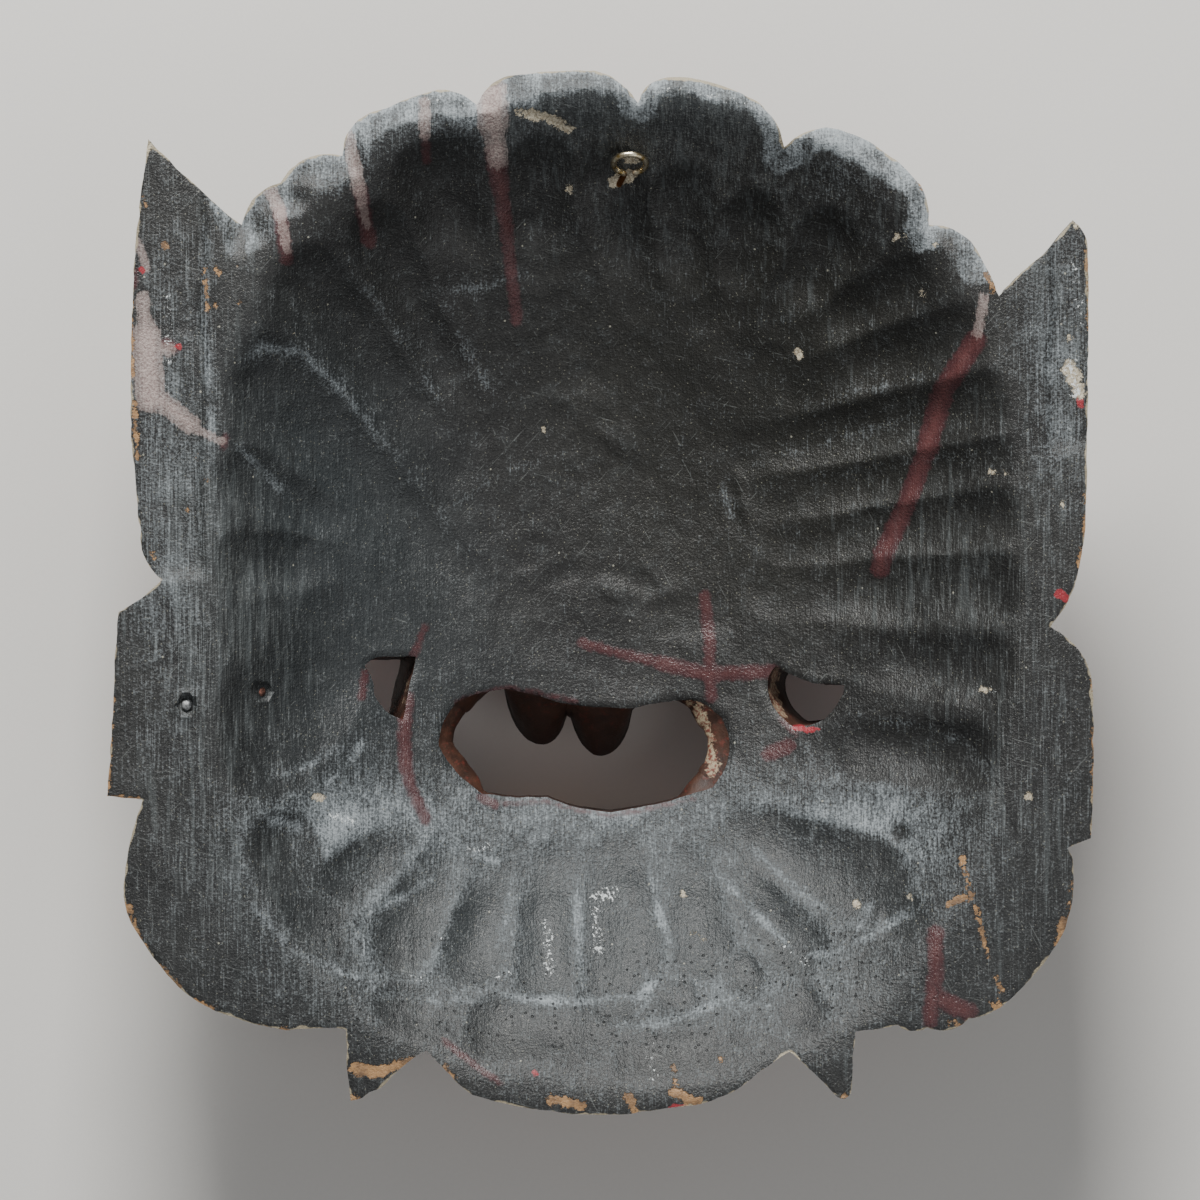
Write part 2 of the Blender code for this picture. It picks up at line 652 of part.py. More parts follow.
# The screw eye's hole follows its slant, and reaches past the neck to clear it.
eye_entry, eye_axis, eye_left = eye_frame()
shank_hole = make_object("shank_hole", *cylinder(
    eye_entry - eye_axis * (SHANK_LENGTH + CLEARANCE), eye_axis, WIRE / 2.0 + CLEARANCE,
    SHANK_LENGTH + EYE_STAND / 2.0, RING_SIDES))
cut_away(mask, shank_hole)

for number, spot in enumerate(BRADS_AT, start=1):
    pin = make_object("brad_%d" % number, *brad(spot))
    paint(pin, "brad steel %d" % number, (0.3, 0.29, 0.28), 1.0, 0.45)
    surface, normal = back_place(spot)
    pit_floor = surface - normal * BRAD_PIT_DEPTH
    hole = make_object("brad_hole_%d" % number, *turned(
        pit_floor - normal * (BRAD_LENGTH + CLEARANCE), normal, [
            (0.0, BRAD_SHANK / 2.0 + CLEARANCE),
            (BRAD_LENGTH + CLEARANCE, BRAD_SHANK / 2.0 + CLEARANCE),
            (BRAD_LENGTH + CLEARANCE, BRAD_PIT / 2.0),
            (BRAD_LENGTH + CLEARANCE + 3.0 * BRAD_PIT, BRAD_PIT / 2.0)], BRAD_SIDES))
    cut_away(mask, hole)
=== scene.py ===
"""Looks of a carved wooden mask that lies face down: its gouge-cut, black-painted hollow side up.

The CAD solids give the form. This script replaces them by finer surfaces of the same form: the wood
with its gouge marks, runs of paint, chips and dust, the screw eye and the two brads.
Lengths are in millimetres until a mesh is made: x to the right, y to the top of the mask, z up, as
in the CAD. "Depth" means distance below the flat back rim. Shapes are worked out as whole arrays of
points (x, y).
"""
import math

import bpy
import numpy as np
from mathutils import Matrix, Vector, geometry


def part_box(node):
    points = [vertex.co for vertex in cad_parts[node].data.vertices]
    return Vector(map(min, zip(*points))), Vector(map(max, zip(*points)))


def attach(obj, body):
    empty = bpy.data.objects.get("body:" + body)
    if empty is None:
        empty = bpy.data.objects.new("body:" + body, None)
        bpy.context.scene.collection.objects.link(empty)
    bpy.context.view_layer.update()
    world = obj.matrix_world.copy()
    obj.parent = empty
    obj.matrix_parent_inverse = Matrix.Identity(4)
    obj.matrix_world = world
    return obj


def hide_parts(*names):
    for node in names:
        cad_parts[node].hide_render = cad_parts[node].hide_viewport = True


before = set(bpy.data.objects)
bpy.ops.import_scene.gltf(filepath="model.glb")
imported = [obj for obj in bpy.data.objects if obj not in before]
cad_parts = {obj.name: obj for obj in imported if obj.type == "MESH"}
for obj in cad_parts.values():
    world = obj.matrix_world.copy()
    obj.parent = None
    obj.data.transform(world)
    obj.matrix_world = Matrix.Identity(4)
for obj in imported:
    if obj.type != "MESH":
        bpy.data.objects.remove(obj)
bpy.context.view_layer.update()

MM = 0.001
RIM_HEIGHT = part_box("mask")[1][2] / MM

# How closely points are laid on the hollow side, on the face, on the loop that distances from the
# edge are taken from, down the walls and round the metal pieces
BACK_STEP = 1.36
FACE_STEP = 2.15
COARSE_STEP = 5.0
EDGE_ROWS = 7
THROAT_ROWS = 20
WIRE_SIDES = 22
BRAD_SIDES = 36
# The angle in degrees from which an edge looks sharp
CREASE_ANGLE = 32.0
# Smooth random heights repeat after this many cells of their lattice, and the middle of the
# mask lies this many cells along it
LATTICE = 64
LATTICE_START = 200.0
# How many points are worked on at once, so that their distances to a whole path fit in memory
BLOCK = 3000

# Half the plan that points are laid over
PLAN_HALF_WIDE = 166.0
PLAN_HALF_TALL = 176.0

# The mask's own sizes, as in the CAD
LEAST_WALL = 12.0
EDGE_THICKNESS = 20.0
EDGE_ROUND = 6.0
HOLLOW_DEPTH = 60.0
HOLLOW_ACROSS = 263.0
HOLLOW_TALL = 327.0
HOLLOW_SHIFT = 5.0
HOLLOW_SQUARENESS = 2.5
HOLLOW_CURVE = 2.4
FACE_ACROSS = 286.0
FACE_TALL = 332.0
FACE_SQUARENESS = 2.4
FACE_RISE = 58.0
FACE_CURVE = 3.0
FORM_ROUNDNESS = 1.15
FORM_BLEND = 2.5
LOCK_GROOVE_DEPTH = 6.0
LOCK_GROOVE_WIDTH = 11.0
TOOTH_WIDTH = 22.0
TOOTH_DROP = 17.0
CORNER_HOLE_SLANT = 5.0
CORNER_HOLE_TAPER = 0.85
WIRE = 2.1
EYE_OUTSIDE = 13.0
EYE_STAND = 11.5
EYE_LEAN = 32.5
EYE_SLANT = 16.7
EYE_BEND = 1.6
EYE_GAP_ANGLE = 27.0
BRAD_HEAD = 3.6
BRAD_PIT = 6.4
BRAD_PIT_DEPTH = 1.6
SCREW_EYE_AT = (6.5, 137.7)
BRADS_AT = [(-138.0, -37.7), (-114.0, -33.3)]

# Sizes of what this script shapes more finely than the CAD, or alone has
GOUGE_SHARE = 0.155
WIDEST_GOUGE = 26.0
GOUGE_OVERLAP = 1.2
GOUGE_ROUNDNESS = 1.3
GOUGE_FADE = 0.7
LOW_GOUGE_FADE = 0.35
CREST_SHARPNESS = 7.0
RIM_SOFTNESS = 2.6
BEVEL_SLOPE = 0.42
BEVEL_REACH = 8.2
EDGE_ALLOWANCE = 5.0
FACE_FULLNESS = 0.9
WIRE_ALLOWANCE = 0.02
SHANK_LENGTH = 6.0
BRAD_SLOPE_SPAN = 4.0

# Corners of the outline, clockwise from the tip of the left ear: x, y and how far the arc to the
# next corner bows outward.
OUTLINE = [
    (-151.0, 151.5, -0.5), (-120.0, 123.0, 3.0), (-107.0, 137.0, 4.0), (-86.5, 146.0, 4.0),
    (-73.0, 161.5, 0.5), (-54.5, 168.0, 1.5), (-41.5, 163.5, 2.0), (-29.5, 173.0, 0.5),
    (-2.0, 174.5, 2.0), (12.5, 163.5, 2.0), (21.0, 172.0, 2.0), (48.5, 166.0, 3.0),
    (61.5, 149.0, 1.5), (75.5, 155.5, 1.5), (93.0, 148.5, 1.0), (107.0, 136.0, 1.0),
    (110.0, 123.0, 1.5), (124.0, 117.5, 0.5), (133.0, 99.5, 0.5), (148.0, 113.5, 0.0),
    (157.5, 124.5, 1.5), (163.0, 114.5, 0.5), (162.0, 20.5, 0.5), (158.0, 0.5, 0.5),
    (150.5, -11.5, 4.0), (164.5, -34.5, 0.5), (164.0, -82.5, 0.0), (156.0, -85.5, 1.0),
    (158.0, -94.5, 2.0), (152.0, -118.5, 0.5), (139.5, -133.5, 2.0), (123.0, -142.5, 2.5),
    (109.0, -145.5, 2.0), (99.0, -145.0, 0.0), (85.5, -147.0, 0.0), (84.0, -167.5, 2.0),
    (77.5, -167.5, -0.5), (63.0, -154.0, -0.5), (49.5, -164.0, 2.0), (22.0, -172.5, 1.0),
    (-9.5, -174.5, 1.0), (-43.0, -168.0, 0.5), (-58.0, -153.5, -0.5), (-72.0, -164.5, 1.0),
    (-83.5, -170.0, 0.5), (-85.0, -146.0, -0.5), (-105.0, -146.5, 1.0), (-132.0, -138.5, 1.0),
    (-146.5, -125.5, 0.5), (-156.5, -111.0, 1.5), (-159.0, -94.5, 1.0), (-153.0, -69.5, 0.0),
    (-165.0, -68.5, -0.5), (-162.0, -12.5, 0.0), (-161.0, -6.5, -0.5), (-147.0, 4.0, 1.5),
    (-154.0, 18.0, 0.0), (-157.0, 50.5, 0.5), (-156.0, 110.5, 0.5),
]
MOUTH = [
    (-54.5, -52.0, 1.5), (-49.0, -38.0, 1.0), (-32.0, -33.5, 0.5), (-13.0, -38.5, -0.5),
    (11.0, -40.0, 0.5), (31.0, -37.0, 4.0), (43.5, -54.0, 1.0), (38.0, -66.0, 1.0),
    (4.0, -74.5, 1.0), (-18.0, -69.5, 0.5), (-40.0, -68.0, 1.5),
]
LEFT_CORNER = [
    (-79.5, -25.0, 1.0), (-72.0, -22.3, 0.0), (-63.2, -22.3, -0.3), (-67.2, -43.0, 1.5),
    (-76.0, -34.0, -0.5),
]
RIGHT_CORNER = [
    (59.8, -25.7, -0.5), (72.8, -31.7, 0.0), (82.5, -31.7, 1.0), (76.2, -42.0, 1.0),
    (65.8, -45.3, 1.5), (57.5, -33.7, 1.0),
]

# Raised and sunk forms of the face: x, y, half width, half height, turn in degrees, rise and
# whether the form is also on the other side.
FORMS = [
    (50, 66, 46, 20, 16, 40, True), (50, 30, 24, 19, 10, 22, True), (51, 29, 7, 7, 0, -6, True),
    (0, 28, 16, 42, 0, 22, False), (0, -4, 25, 22, 0, 34, False), (24, -9, 17, 15, 0, 26, True),
    (0, 104, 22, 26, 0, 16, False), (40, -23, 42, 15, -6, 24, True), (106, 4, 30, 38, 0, 16, True),
    (112, -96, 38, 40, 0, 20, True), (112, -96, 15, 16, 0, 27, True), (0, -92, 62, 20, 0, 44, False),
    (0, -130, 36, 28, 0, 22, False), (147, 70, 8, 46, 2, -7, True),
]

# Grooves between the locks of the mane: the outer end x, y and the inner end x, y.
LOCK_GROOVES = [
    (-120, 123, -92, 96), (-86, 146, -66, 114), (-42, 164, -34, 128), (13, 164, 10, 132),
    (62, 150, 48, 118), (110, 123, 86, 98), (-153, -69, -128, -62), (156, -86, 130, -72),
    (-85, -146, -72, -122), (86, -147, 74, -122), (-58, -153, -46, -132), (63, -154, 50, -132),
]

# Gouge cuts in the hollow: the outer end x, y, the inner end x, y and the widths at the two ends.
GOUGES = [
    (-53.5, 138.0, -49.5, 108.0, 28.0, 20.0), (-20.2, 138.0, -21.8, 113.3, 24.0, 19.3),
    (2.2, 137.3, 13.2, 100.7, 22.0, 18.7), (27.8, 132.0, 33.2, 97.3, 20.7, 18.7),
    (50.5, 124.0, 45.8, 97.3, 19.3, 16.7), (75.8, 116.3, 62.5, 93.3, 20.7, 16.0),
    (101.5, 103.0, 68.5, 87.3, 17.3, 14.0), (122.5, 86.3, 66.5, 70.0, 20.0, 16.0),
    (130.5, 63.3, 49.2, 46.7, 20.7, 15.3), (134.2, 43.3, 56.5, 30.7, 16.7, 13.3),
    (133.2, 24.7, 63.2, 15.7, 19.3, 15.3), (131.5, 0.7, 59.8, 0.7, 22.0, 18.7),
    (126.5, -26.7, 87.2, -23.3, 20.7, 17.3), (120.5, -55.0, 79.2, -53.3, 21.3, 18.7),
    (89.2, -96.0, 47.2, -83.3, 28.0, 20.7), (101.5, -81.0, 97.5, -83.3, 7.5, 6.5),
    (99.8, -108.7, 93.2, -108.0, 17.3, 15.3), (66.5, -119.3, 47.2, -96.7, 18.7, 14.7),
    (34.5, -121.0, 29.8, -93.3, 20.0, 15.3), (6.5, -131.0, 6.5, -88.7, 28.0, 20.7),
    (-18.5, -131.0, -18.5, -92.0, 19.3, 15.3), (-43.5, -122.7, -36.2, -96.7, 20.7, 15.3),
    (-66.8, -117.7, -57.5, -93.3, 20.7, 18.0), (-90.8, -101.0, -67.5, -83.3, 19.3, 16.7),
    (-112.8, -49.3, -83.5, -12.7, 37.3, 32.0), (-118.5, 9.0, -90.2, 10.7, 20.7, 16.7),
    (-116.8, 37.3, -82.8, 20.7, 20.0, 14.7), (-112.8, 70.0, -50.2, 5.7, 28.7, 20.0),
    (-98.5, 101.7, -49.5, 43.3, 25.3, 17.3), (-72.8, 120.0, -44.8, 54.0, 19.3, 13.3),
    (-35.2, -146.0, -5.2, -146.7, 18.3, 18.3), (26.5, -137.7, 33.2, -136.7, 15.0, 15.0),
    (48.2, -128.7, 53.8, -125.3, 15.3, 14.0), (67.2, -141.0, 73.8, -136.0, 15.3, 14.0),
    (-66.8, -139.3, -56.2, -144.3, 16.7, 15.3), (13.2, -156.0, 39.8, -153.3, 16.0, 14.7),
    (-106.8, -86.0, -90.2, -122.7, 23.3, 20.0),
]
# Runs of maroon paint: their course and width.
DRIPS = [
    ([(-106.8, 126.7), (-104.8, 111.3)], 4.8),
    ([(-80.2, 134.0), (-77.8, 118.0)], 5.2),
    ([(-58.5, 151.3), (-58.2, 144.7)], 3.0),
    ([(-35.5, 146.7), (-33.5, 135.7)], 6.7),
    ([(-33.5, 137.3), (-31.5, 119.0)], 5.0),
    ([(-31.5, 119.0), (-28.5, 92.3)], 4.3),
    ([(125.2, 84.0), (115.2, 68.0), (109.8, 47.7)], 7.3),
    ([(109.8, 47.7), (105.8, 36.7), (101.8, 26.0)], 6.3),
    ([(101.8, 26.0), (95.5, 12.3), (94.8, 8.0)], 6.7),
    ([(-6.5, -17.3), (4.5, -20.3), (19.8, -24.0)], 3.7),
    ([(19.8, -24.0), (37.2, -28.0), (58.5, -27.0)], 5.3),
    ([(35.5, -1.7), (37.2, -16.0), (37.8, -36.0)], 4.3),
    ([(-59.8, -11.7), (-61.5, -16.7), (-63.8, -21.7)], 2.7),
    ([(-65.8, -36.0), (-66.8, -49.3), (-65.8, -60.0)], 5.0),
    ([(-65.8, -60.0), (-63.5, -68.0), (-59.2, -77.0)], 4.2),
    ([(-79.8, -27.3), (-80.8, -35.3)], 3.0),
    ([(57.2, -55.0), (63.8, -52.3)], 5.3),
    ([(-40.8, -69.7), (-35.5, -72.3)], 3.0),
    ([(-33.5, -72.0), (-17.5, -71.3), (-9.5, -74.0), (3.5, -76.0), (11.2, -74.7), (31.8, -70.3)], 1.3),
    ([(61.8, -43.3), (66.5, -48.0)], 2.3),
    ([(-49.0, -37.5), (-32.2, -32.5), (-22.8, -34.2), (-8.5, -37.2)], 2.0),
    ([(-125.2, 51.7), (-125.5, 48.3)], 2.3),
    ([(111.8, -114.0), (111.8, -127.7), (109.8, -142.7)], 5.6),
    ([(113.8, -136.0), (122.5, -140.0)], 6.6),
    ([(-52.2, -150.0), (-43.5, -156.7), (-33.2, -164.0)], 2.0),
    ([(-144.8, 83.0), (-142.2, 81.3)], 4.0),
    ([(-154.8, 107.3), (-155.8, 102.0)], 2.3),
]
# The same paint thin and pale over the dusty rim.
BLUSHES = [
    ([(-110.8, 135.3), (-106.5, 126.0)], 4.3),
    ([(-106.5, 126.0), (-104.6, 114.0)], 3.0),
    ([(-84.2, 152.0), (-80.5, 134.0)], 4.7),
    ([(-80.5, 134.0), (-78.3, 123.0)], 3.2),
    ([(-58.8, 164.0), (-58.5, 152.0)], 3.7),
    ([(-36.5, 167.3), (-35.8, 156.7)], 10.7),
    ([(-35.8, 156.7), (-34.5, 145.3)], 7.3),
    ([(127.8, 98.3), (125.8, 86.0)], 3.2),
    ([(-154.8, 117.3), (-151.5, 108.0)], 2.7),
    ([(-152.8, 98.0), (-150.8, 82.3)], 5.0),
    ([(-151.5, 85.7), (-150.2, 64.7)], 10.0),
    ([(-146.8, 80.7), (-143.5, 80.7)], 4.3),
    ([(-146.8, 64.0), (-136.8, 56.0)], 6.7),
    ([(-136.8, 55.3), (-126.2, 50.3)], 2.7),
]
# Small spots of bright red.
CRIMSONS = [
    ([(159.8, 63.7), (160.2, 62.7)], 2.7),
    ([(152.5, -0.7), (156.5, -2.7)], 3.0),
    ([(23.2, -171.3), (29.2, -172.0)], 2.3),
    ([(66.2, -46.3), (73.8, -46.7)], 2.0),
    ([(-22.2, -160.0), (-21.8, -160.7)], 1.7),
    ([(-153.2, 107.7), (-152.8, 106.7)], 2.0),
    ([(-140.8, 82.3), (-140.5, 81.3)], 1.7),
]
# Chips down to the cream ground.
CHIPS = [
    ([(-27.5, 160.3), (-18.5, 158.7)], 3.3),
    ([(-18.5, 158.3), (-10.2, 155.0)], 3.0),
    ([(-10.8, 135.7), (-10.5, 134.7)], 1.7),
    ([(99.2, 119.0), (101.5, 119.0)], 2.3),
    ([(107.8, 101.0), (108.8, 98.3)], 1.7),
    ([(111.2, 115.7), (111.5, 115.3)], 1.3),
    ([(66.8, 81.7), (67.5, 79.7)], 2.0),
    ([(156.5, 85.3), (156.5, 83.7)], 2.3),
    ([(156.5, 74.7), (159.8, 67.3)], 5.0),
    ([(-96.2, -69.3), (-93.5, -69.7)], 3.0),
    ([(127.8, -32.3), (129.5, -32.3)], 1.7),
    ([(130.5, 40.3), (139.8, 38.7)], 0.8),
    ([(153.8, 29.0), (154.2, 28.3)], 1.7),
    ([(27.5, -101.7), (27.8, -102.3)], 2.0),
    ([(30.8, -115.3), (35.5, -117.0)], 1.0),
    ([(102.8, -101.3), (103.2, -102.0)], 1.7),
    ([(85.8, -104.7), (86.2, -105.3)], 1.7),
    ([(142.5, -67.3), (142.5, -68.7)], 2.0),
    ([(4.8, 138.4), (9.6, 139.6)], 4.8),
    ([(6.5, 146.2), (11.2, 145.2)], 2.6),
    ([(-104.2, 90.0), (-102.8, 87.3)], 0.7),
    ([(-19.8, 55.7), (-19.5, 55.0)], 1.3),
    ([(-150.2, 149.7), (-151.5, 147.3)], 1.7),
    ([(157.8, 123.3), (159.2, 121.3)], 1.3),
]
# Wear down to ochre and orange wood, mostly on the edges.
OCHRES = [
    ([(128.8, 105.3), (131.2, 100.7)], 2.3),
    ([(106.5, 136.7), (107.2, 135.3)], 2.3),
    ([(162.5, 114.0), (162.5, 87.3)], 1.3),
    ([(161.5, 32.3), (161.8, 19.0)], 1.7),
    ([(160.2, 14.0), (159.5, 8.3)], 1.7),
    ([(164.5, -24.3), (164.2, -32.7)], 1.7),
    ([(164.5, -46.0), (164.5, -82.0)], 1.0),
    ([(-156.8, 97.3), (-156.2, 70.7)], 1.3),
    ([(-155.8, 64.0), (-154.5, 44.0)], 1.7),
    ([(-162.8, -32.7), (-164.2, -67.7)], 1.3),
    ([(-164.2, -68.3), (-154.2, -69.0)], 1.0),
    ([(-158.2, -104.3), (-151.8, -120.0), (-140.8, -132.0)], 2.0),
    ([(-135.2, -136.3), (-129.2, -139.3)], 2.0),
    ([(-116.8, -145.7), (-103.5, -146.3)], 1.7),
    ([(-82.8, -158.7), (-75.2, -160.0), (-63.5, -156.7)], 4.0),
    ([(-84.5, -168.3), (-81.2, -169.7)], 2.7),
    ([(-52.2, -158.7), (-49.2, -162.3)], 2.3),
    ([(-16.8, -169.3), (-5.8, -171.3)], 3.3),
    ([(9.2, -168.3), (11.2, -172.7)], 3.3),
    ([(24.8, -167.3), (32.2, -170.3)], 4.0),
    ([(24.8, -158.7), (24.8, -165.0)], 1.0),
    ([(39.5, -156.3), (40.2, -156.3)], 1.7),
    ([(80.8, -168.3), (82.5, -169.0)], 2.0),
    ([(157.5, -96.0), (155.5, -111.0)], 1.7),
    ([(154.8, -109.3), (152.8, -117.7)], 2.7),
    ([(116.5, -104.0), (121.5, -101.7)], 3.0),
    ([(120.5, -88.3), (129.5, -121.7)], 1.5),
    ([(132.2, -128.3), (133.5, -133.3)], 1.7),
    ([(131.2, -137.3), (133.8, -139.7)], 2.7),
    ([(116.5, -143.7), (122.2, -144.7)], 1.7),
    ([(-134.5, 46.0), (-134.5, 45.0)], 1.3),
    ([(-131.2, 36.7), (-131.2, 35.7)], 1.3),
    ([(-137.8, 27.7), (-137.8, 26.7)], 1.3),
    ([(-149.5, 12.7), (-149.5, 11.3)], 1.7),
    ([(-153.2, 41.3), (-153.2, 40.3)], 1.3),
    ([(-145.5, 116.0), (-145.5, 114.7)], 1.7),
    ([(-128.5, 95.7), (-128.5, 94.7)], 1.3),
    ([(-120.5, 97.0), (-120.5, 96.3)], 1.3),
    ([(-120.8, 109.7), (-120.8, 108.7)], 1.3),
    ([(-128.2, 108.0), (-127.5, 106.7)], 1.3),
    ([(-152.5, 132.0), (-151.5, 129.0)], 1.3),
    ([(-131.8, 108.0), (-131.2, 94.0)], 1.3),
]
# Crests where blue-grey dust lies: their course, width and strength.
CRESTS = [
    ([(-85.2, 109.0), (-70.2, 90.7), (-50.2, 57.3)], 3.0, 0.34),
    ([(-119.2, 76.7), (-112.8, 82.3), (-100.2, 80.0), (-86.8, 67.3), (-72.0, 49.0)], 3.0, 0.68),
    ([(-79.0, 57.5), (-56.8, 30.7), (-48.5, 15.7)], 2.6, 0.34),
    ([(-55.2, 102.3), (-46.2, 84.0), (-35.2, 64.0)], 3.0, 0.38),
    ([(124.8, 75.0), (93.2, 69.0), (66.5, 63.3)], 2.2, 0.26),
    ([(119.8, 65.0), (86.5, 54.0), (48.2, 42.3)], 2.2, 0.24),
    ([(133.2, 47.3), (96.5, 42.3), (56.5, 37.3)], 2.0, 0.22),
    ([(83.2, -41.3), (109.8, -45.3), (124.8, -52.0), (132.8, -69.3)], 2.0, 0.35),
    ([(-113.0, -76.0), (-98.0, -79.0)], 5.0, 0.75), ([(-43.5, -86.5), (-36.0, -91.5)], 5.0, 0.8),
    ([(-8.2, -89.3), (-7.5, -116.0), (-6.2, -136.0)], 3.0, 0.8),
    ([(15.2, -89.3), (19.2, -106.0), (25.2, -124.3)], 3.0, 0.75),
    ([(35.8, -92.0), (49.8, -106.0), (66.5, -122.7)], 2.7, 0.7),
    ([(47.2, -83.3), (66.5, -101.0), (86.5, -112.7), (93.8, -99.3)], 3.0, 0.7),
    ([(-28.5, -92.0), (-32.8, -112.7), (-33.5, -121.0)], 2.7, 0.7),
    ([(-40.2, -132.7), (-26.8, -136.7), (-6.8, -138.0), (13.2, -136.0), (25.2, -125.3)], 3.3, 0.8),
    ([(-50.2, -93.3), (-66.8, -102.7), (-83.5, -111.0)], 2.7, 0.6),
    ([(-83.5, -131.0), (-56.8, -136.7), (-33.5, -136.7)], 4.0, 0.6),
    ([(-0.2, -145.0), (16.5, -145.3), (33.2, -140.0), (53.2, -132.7)], 4.0, 0.6),
    ([(-116.8, -64.3), (-100.2, -59.3), (-83.5, -50.0)], 2.7, 0.55),
    ([(-79.5, -47.7), (-83.5, -56.0), (-96.8, -69.3)], 3.0, 0.6),
    ([(-130.8, 130.7), (-132.5, 97.3), (-129.5, 54.0), (-128.8, 24.0)], 3.3, 0.55),
    ([(-125.2, 52.3), (-103.5, 30.7)], 2.3, 0.5),
    ([(-58.5, 100.7), (-40.2, 103.3), (-23.5, 108.0)], 2.7, 0.4),
    ([(150.5, 97.3), (149.8, 50.7)], 2.0, 0.3),
    ([(66.5, -123.3), (83.2, -119.3), (109.8, -104.3)], 3.0, 0.6),
    ([(-122.0, -97.0), (-104.5, -118.0), (-87.5, -127.0), (-75.0, -131.0)], 3.3, 0.6),
    ([(-48.5, -86.0), (-41.8, -90.0), (-30.2, -92.0)], 4.0, 0.6),
    ([(83.2, -76.0), (99.8, -74.3), (111.5, -79.3)], 2.3, 0.4),
    ([(43.2, 40.7), (42.2, 34.0), (45.8, 23.3)], 1.3, 0.5),
    ([(-53.5, 27.3), (-33.5, 40.7), (-3.5, 50.7)], 1.3, 0.35),
    ([(13.2, -122.7), (16.5, -136.0), (9.8, -146.0)], 3.0, 0.6),
]

# Soft zones of dust, and of warmer (positive) or bluer (negative) black, the warmest also darkened as
# painted shade: x, y, half width, half height and strength.
DUSTY = [
    (0, -108, 95, 30, 0.26), (-88, -84, 34, 26, 0.48), (92, -84, 36, 26, 0.44), (-60, 158, 45, 14, 0.26),
    (84, 142, 16, 12, 0.2), (-112, 126, 20, 16, 0.12), (152, 82, 15, 50, 0.35), (-144, 30, 16, 90, 0.3),
    (-40, -42, 60, 16, 0.1), (156, -50, 14, 40, 0.1), (0, -72, 60, 14, 0.4), (0, -162, 60, 12, 0.15),
    (-60, -130, 50, 18, 0.22), (50, -135, 50, 16, 0.24),
]
WARM_AND_PAINTED_SHADE = [
    (52, 48, 58, 58, 1.1), (45, 95, 50, 30, 0.5), (-80, -20, 50, 50, -0.5), (0, -110, 110, 45, -0.7),
    (-90, 40, 40, 40, -0.35), (0, 165, 120, 14, -0.5), (-105, 60, 30, 50, -0.2),
]

# Where the upright grain shows pale through the paint: x, y, half width, half height and strength.
GRAINY = [
    (0, 160, 110, 22, 0.6), (60, 150, 70, 25, 0.3), (100, 10, 40, 34, 0.9), (-118, -10, 22, 60, 0.9),
    (-140, 40, 18, 110, 0.7), (140, -60, 26, 70, 0.6), (-120, -100, 36, 34, 0.5), (155, 80, 12, 50, 0.5),
    (30, 120, 60, 40, 0.5), (15, 20, 60, 60, -1.4), (0, -50, 70, 20, -0.6), (-20, 80, 60, 40, -0.5),
]

# Where fine dark pores show: x, y, half width, half height and strength.
PORED = [
    (-10, -140, 100, 20, 0.9), (72, -124, 45, 20, 0.9), (-92, -112, 28, 24, 0.7), (-118, 60, 20, 60, 0.3),
    (0, -90, 70, 20, 0.2), (100, -80, 30, 24, 0.4),
]

# White flecks where dust and ground have caked: course and width.
WHITES = [
    ([(-2.5, -103.5), (4.5, -102.5)], 6.0), ([(-1.5, -107.0), (-0.5, -122.0)], 5.0),
    ([(-18.5, -113.0), (-17.0, -128.0)], 5.0), ([(27.0, -130.0), (31.0, -131.0)], 3.5),
    ([(-45.0, -88.0), (-38.0, -86.0)], 4.0), ([(-92.0, -75.0), (-84.0, -77.0)], 4.5),
    ([(156.5, 77.0), (158.5, 66.0)], 6.0), ([(16.0, -152.0), (17.5, -162.0)], 3.0),
    ([(-56.0, -114.0), (-50.0, -121.0)], 3.0),
    ([(61.0, -119.0), (70.0, -124.0)], 3.0), ([(-66.0, -128.0), (-58.0, -131.0)], 3.0),
    ([(127.0, -31.5), (131.0, -32.5)], 2.5), ([(-34.5, -129.0), (-29.0, -127.5)], 3.0),
    ([(-145.0, 70.0), (-144.0, 100.0)], 3.0), ([(158.0, 110.0), (160.5, 90.0)], 3.5),
    ([(-60.0, 165.0), (-45.0, 163.0)], 2.0), ([(22.0, 168.0), (50.0, 163.0)], 2.0),
]

# Bare cream patches on the walls of the mouth and the small holes: course and width.
THROAT_BARE = [
    ([(33.5, -38.5), (36.0, -50.0), (38.0, -60.0)], 6.0), ([(31.0, -36.5), (29.5, -39.0)], 3.0),
    ([(60.0, -26.5), (58.5, -34.0), (61.5, -42.0)], 4.5), ([(-65.5, -30.0), (-67.0, -38.0)], 2.0),
]

# Cracks and the straight glue line: course and width.
CRACKS = [
    ([(16.8, 169.7), (16.5, 147.3), (15.8, 137.3), (15.5, 129.0), (13.8, 124.7)], 0.5),
    ([(-87.7, -105.0), (-87.7, -144.7)], 0.4), ([(4.5, -8.0), (4.5, -23.0)], 0.4),
    ([(82.8, -38.0), (104.2, -41.3), (120.5, -46.0), (129.8, -56.7), (136.8, -75.7), (140.5, -83.7)], 0.6),
    ([(102.8, -121.0), (110.2, -127.7), (112.5, -132.7), (112.5, -142.7)], 0.4),
    ([(-46.5, 104.0), (-37.2, 108.7), (-27.2, 108.3), (-14.2, 111.3)], 0.35),
]

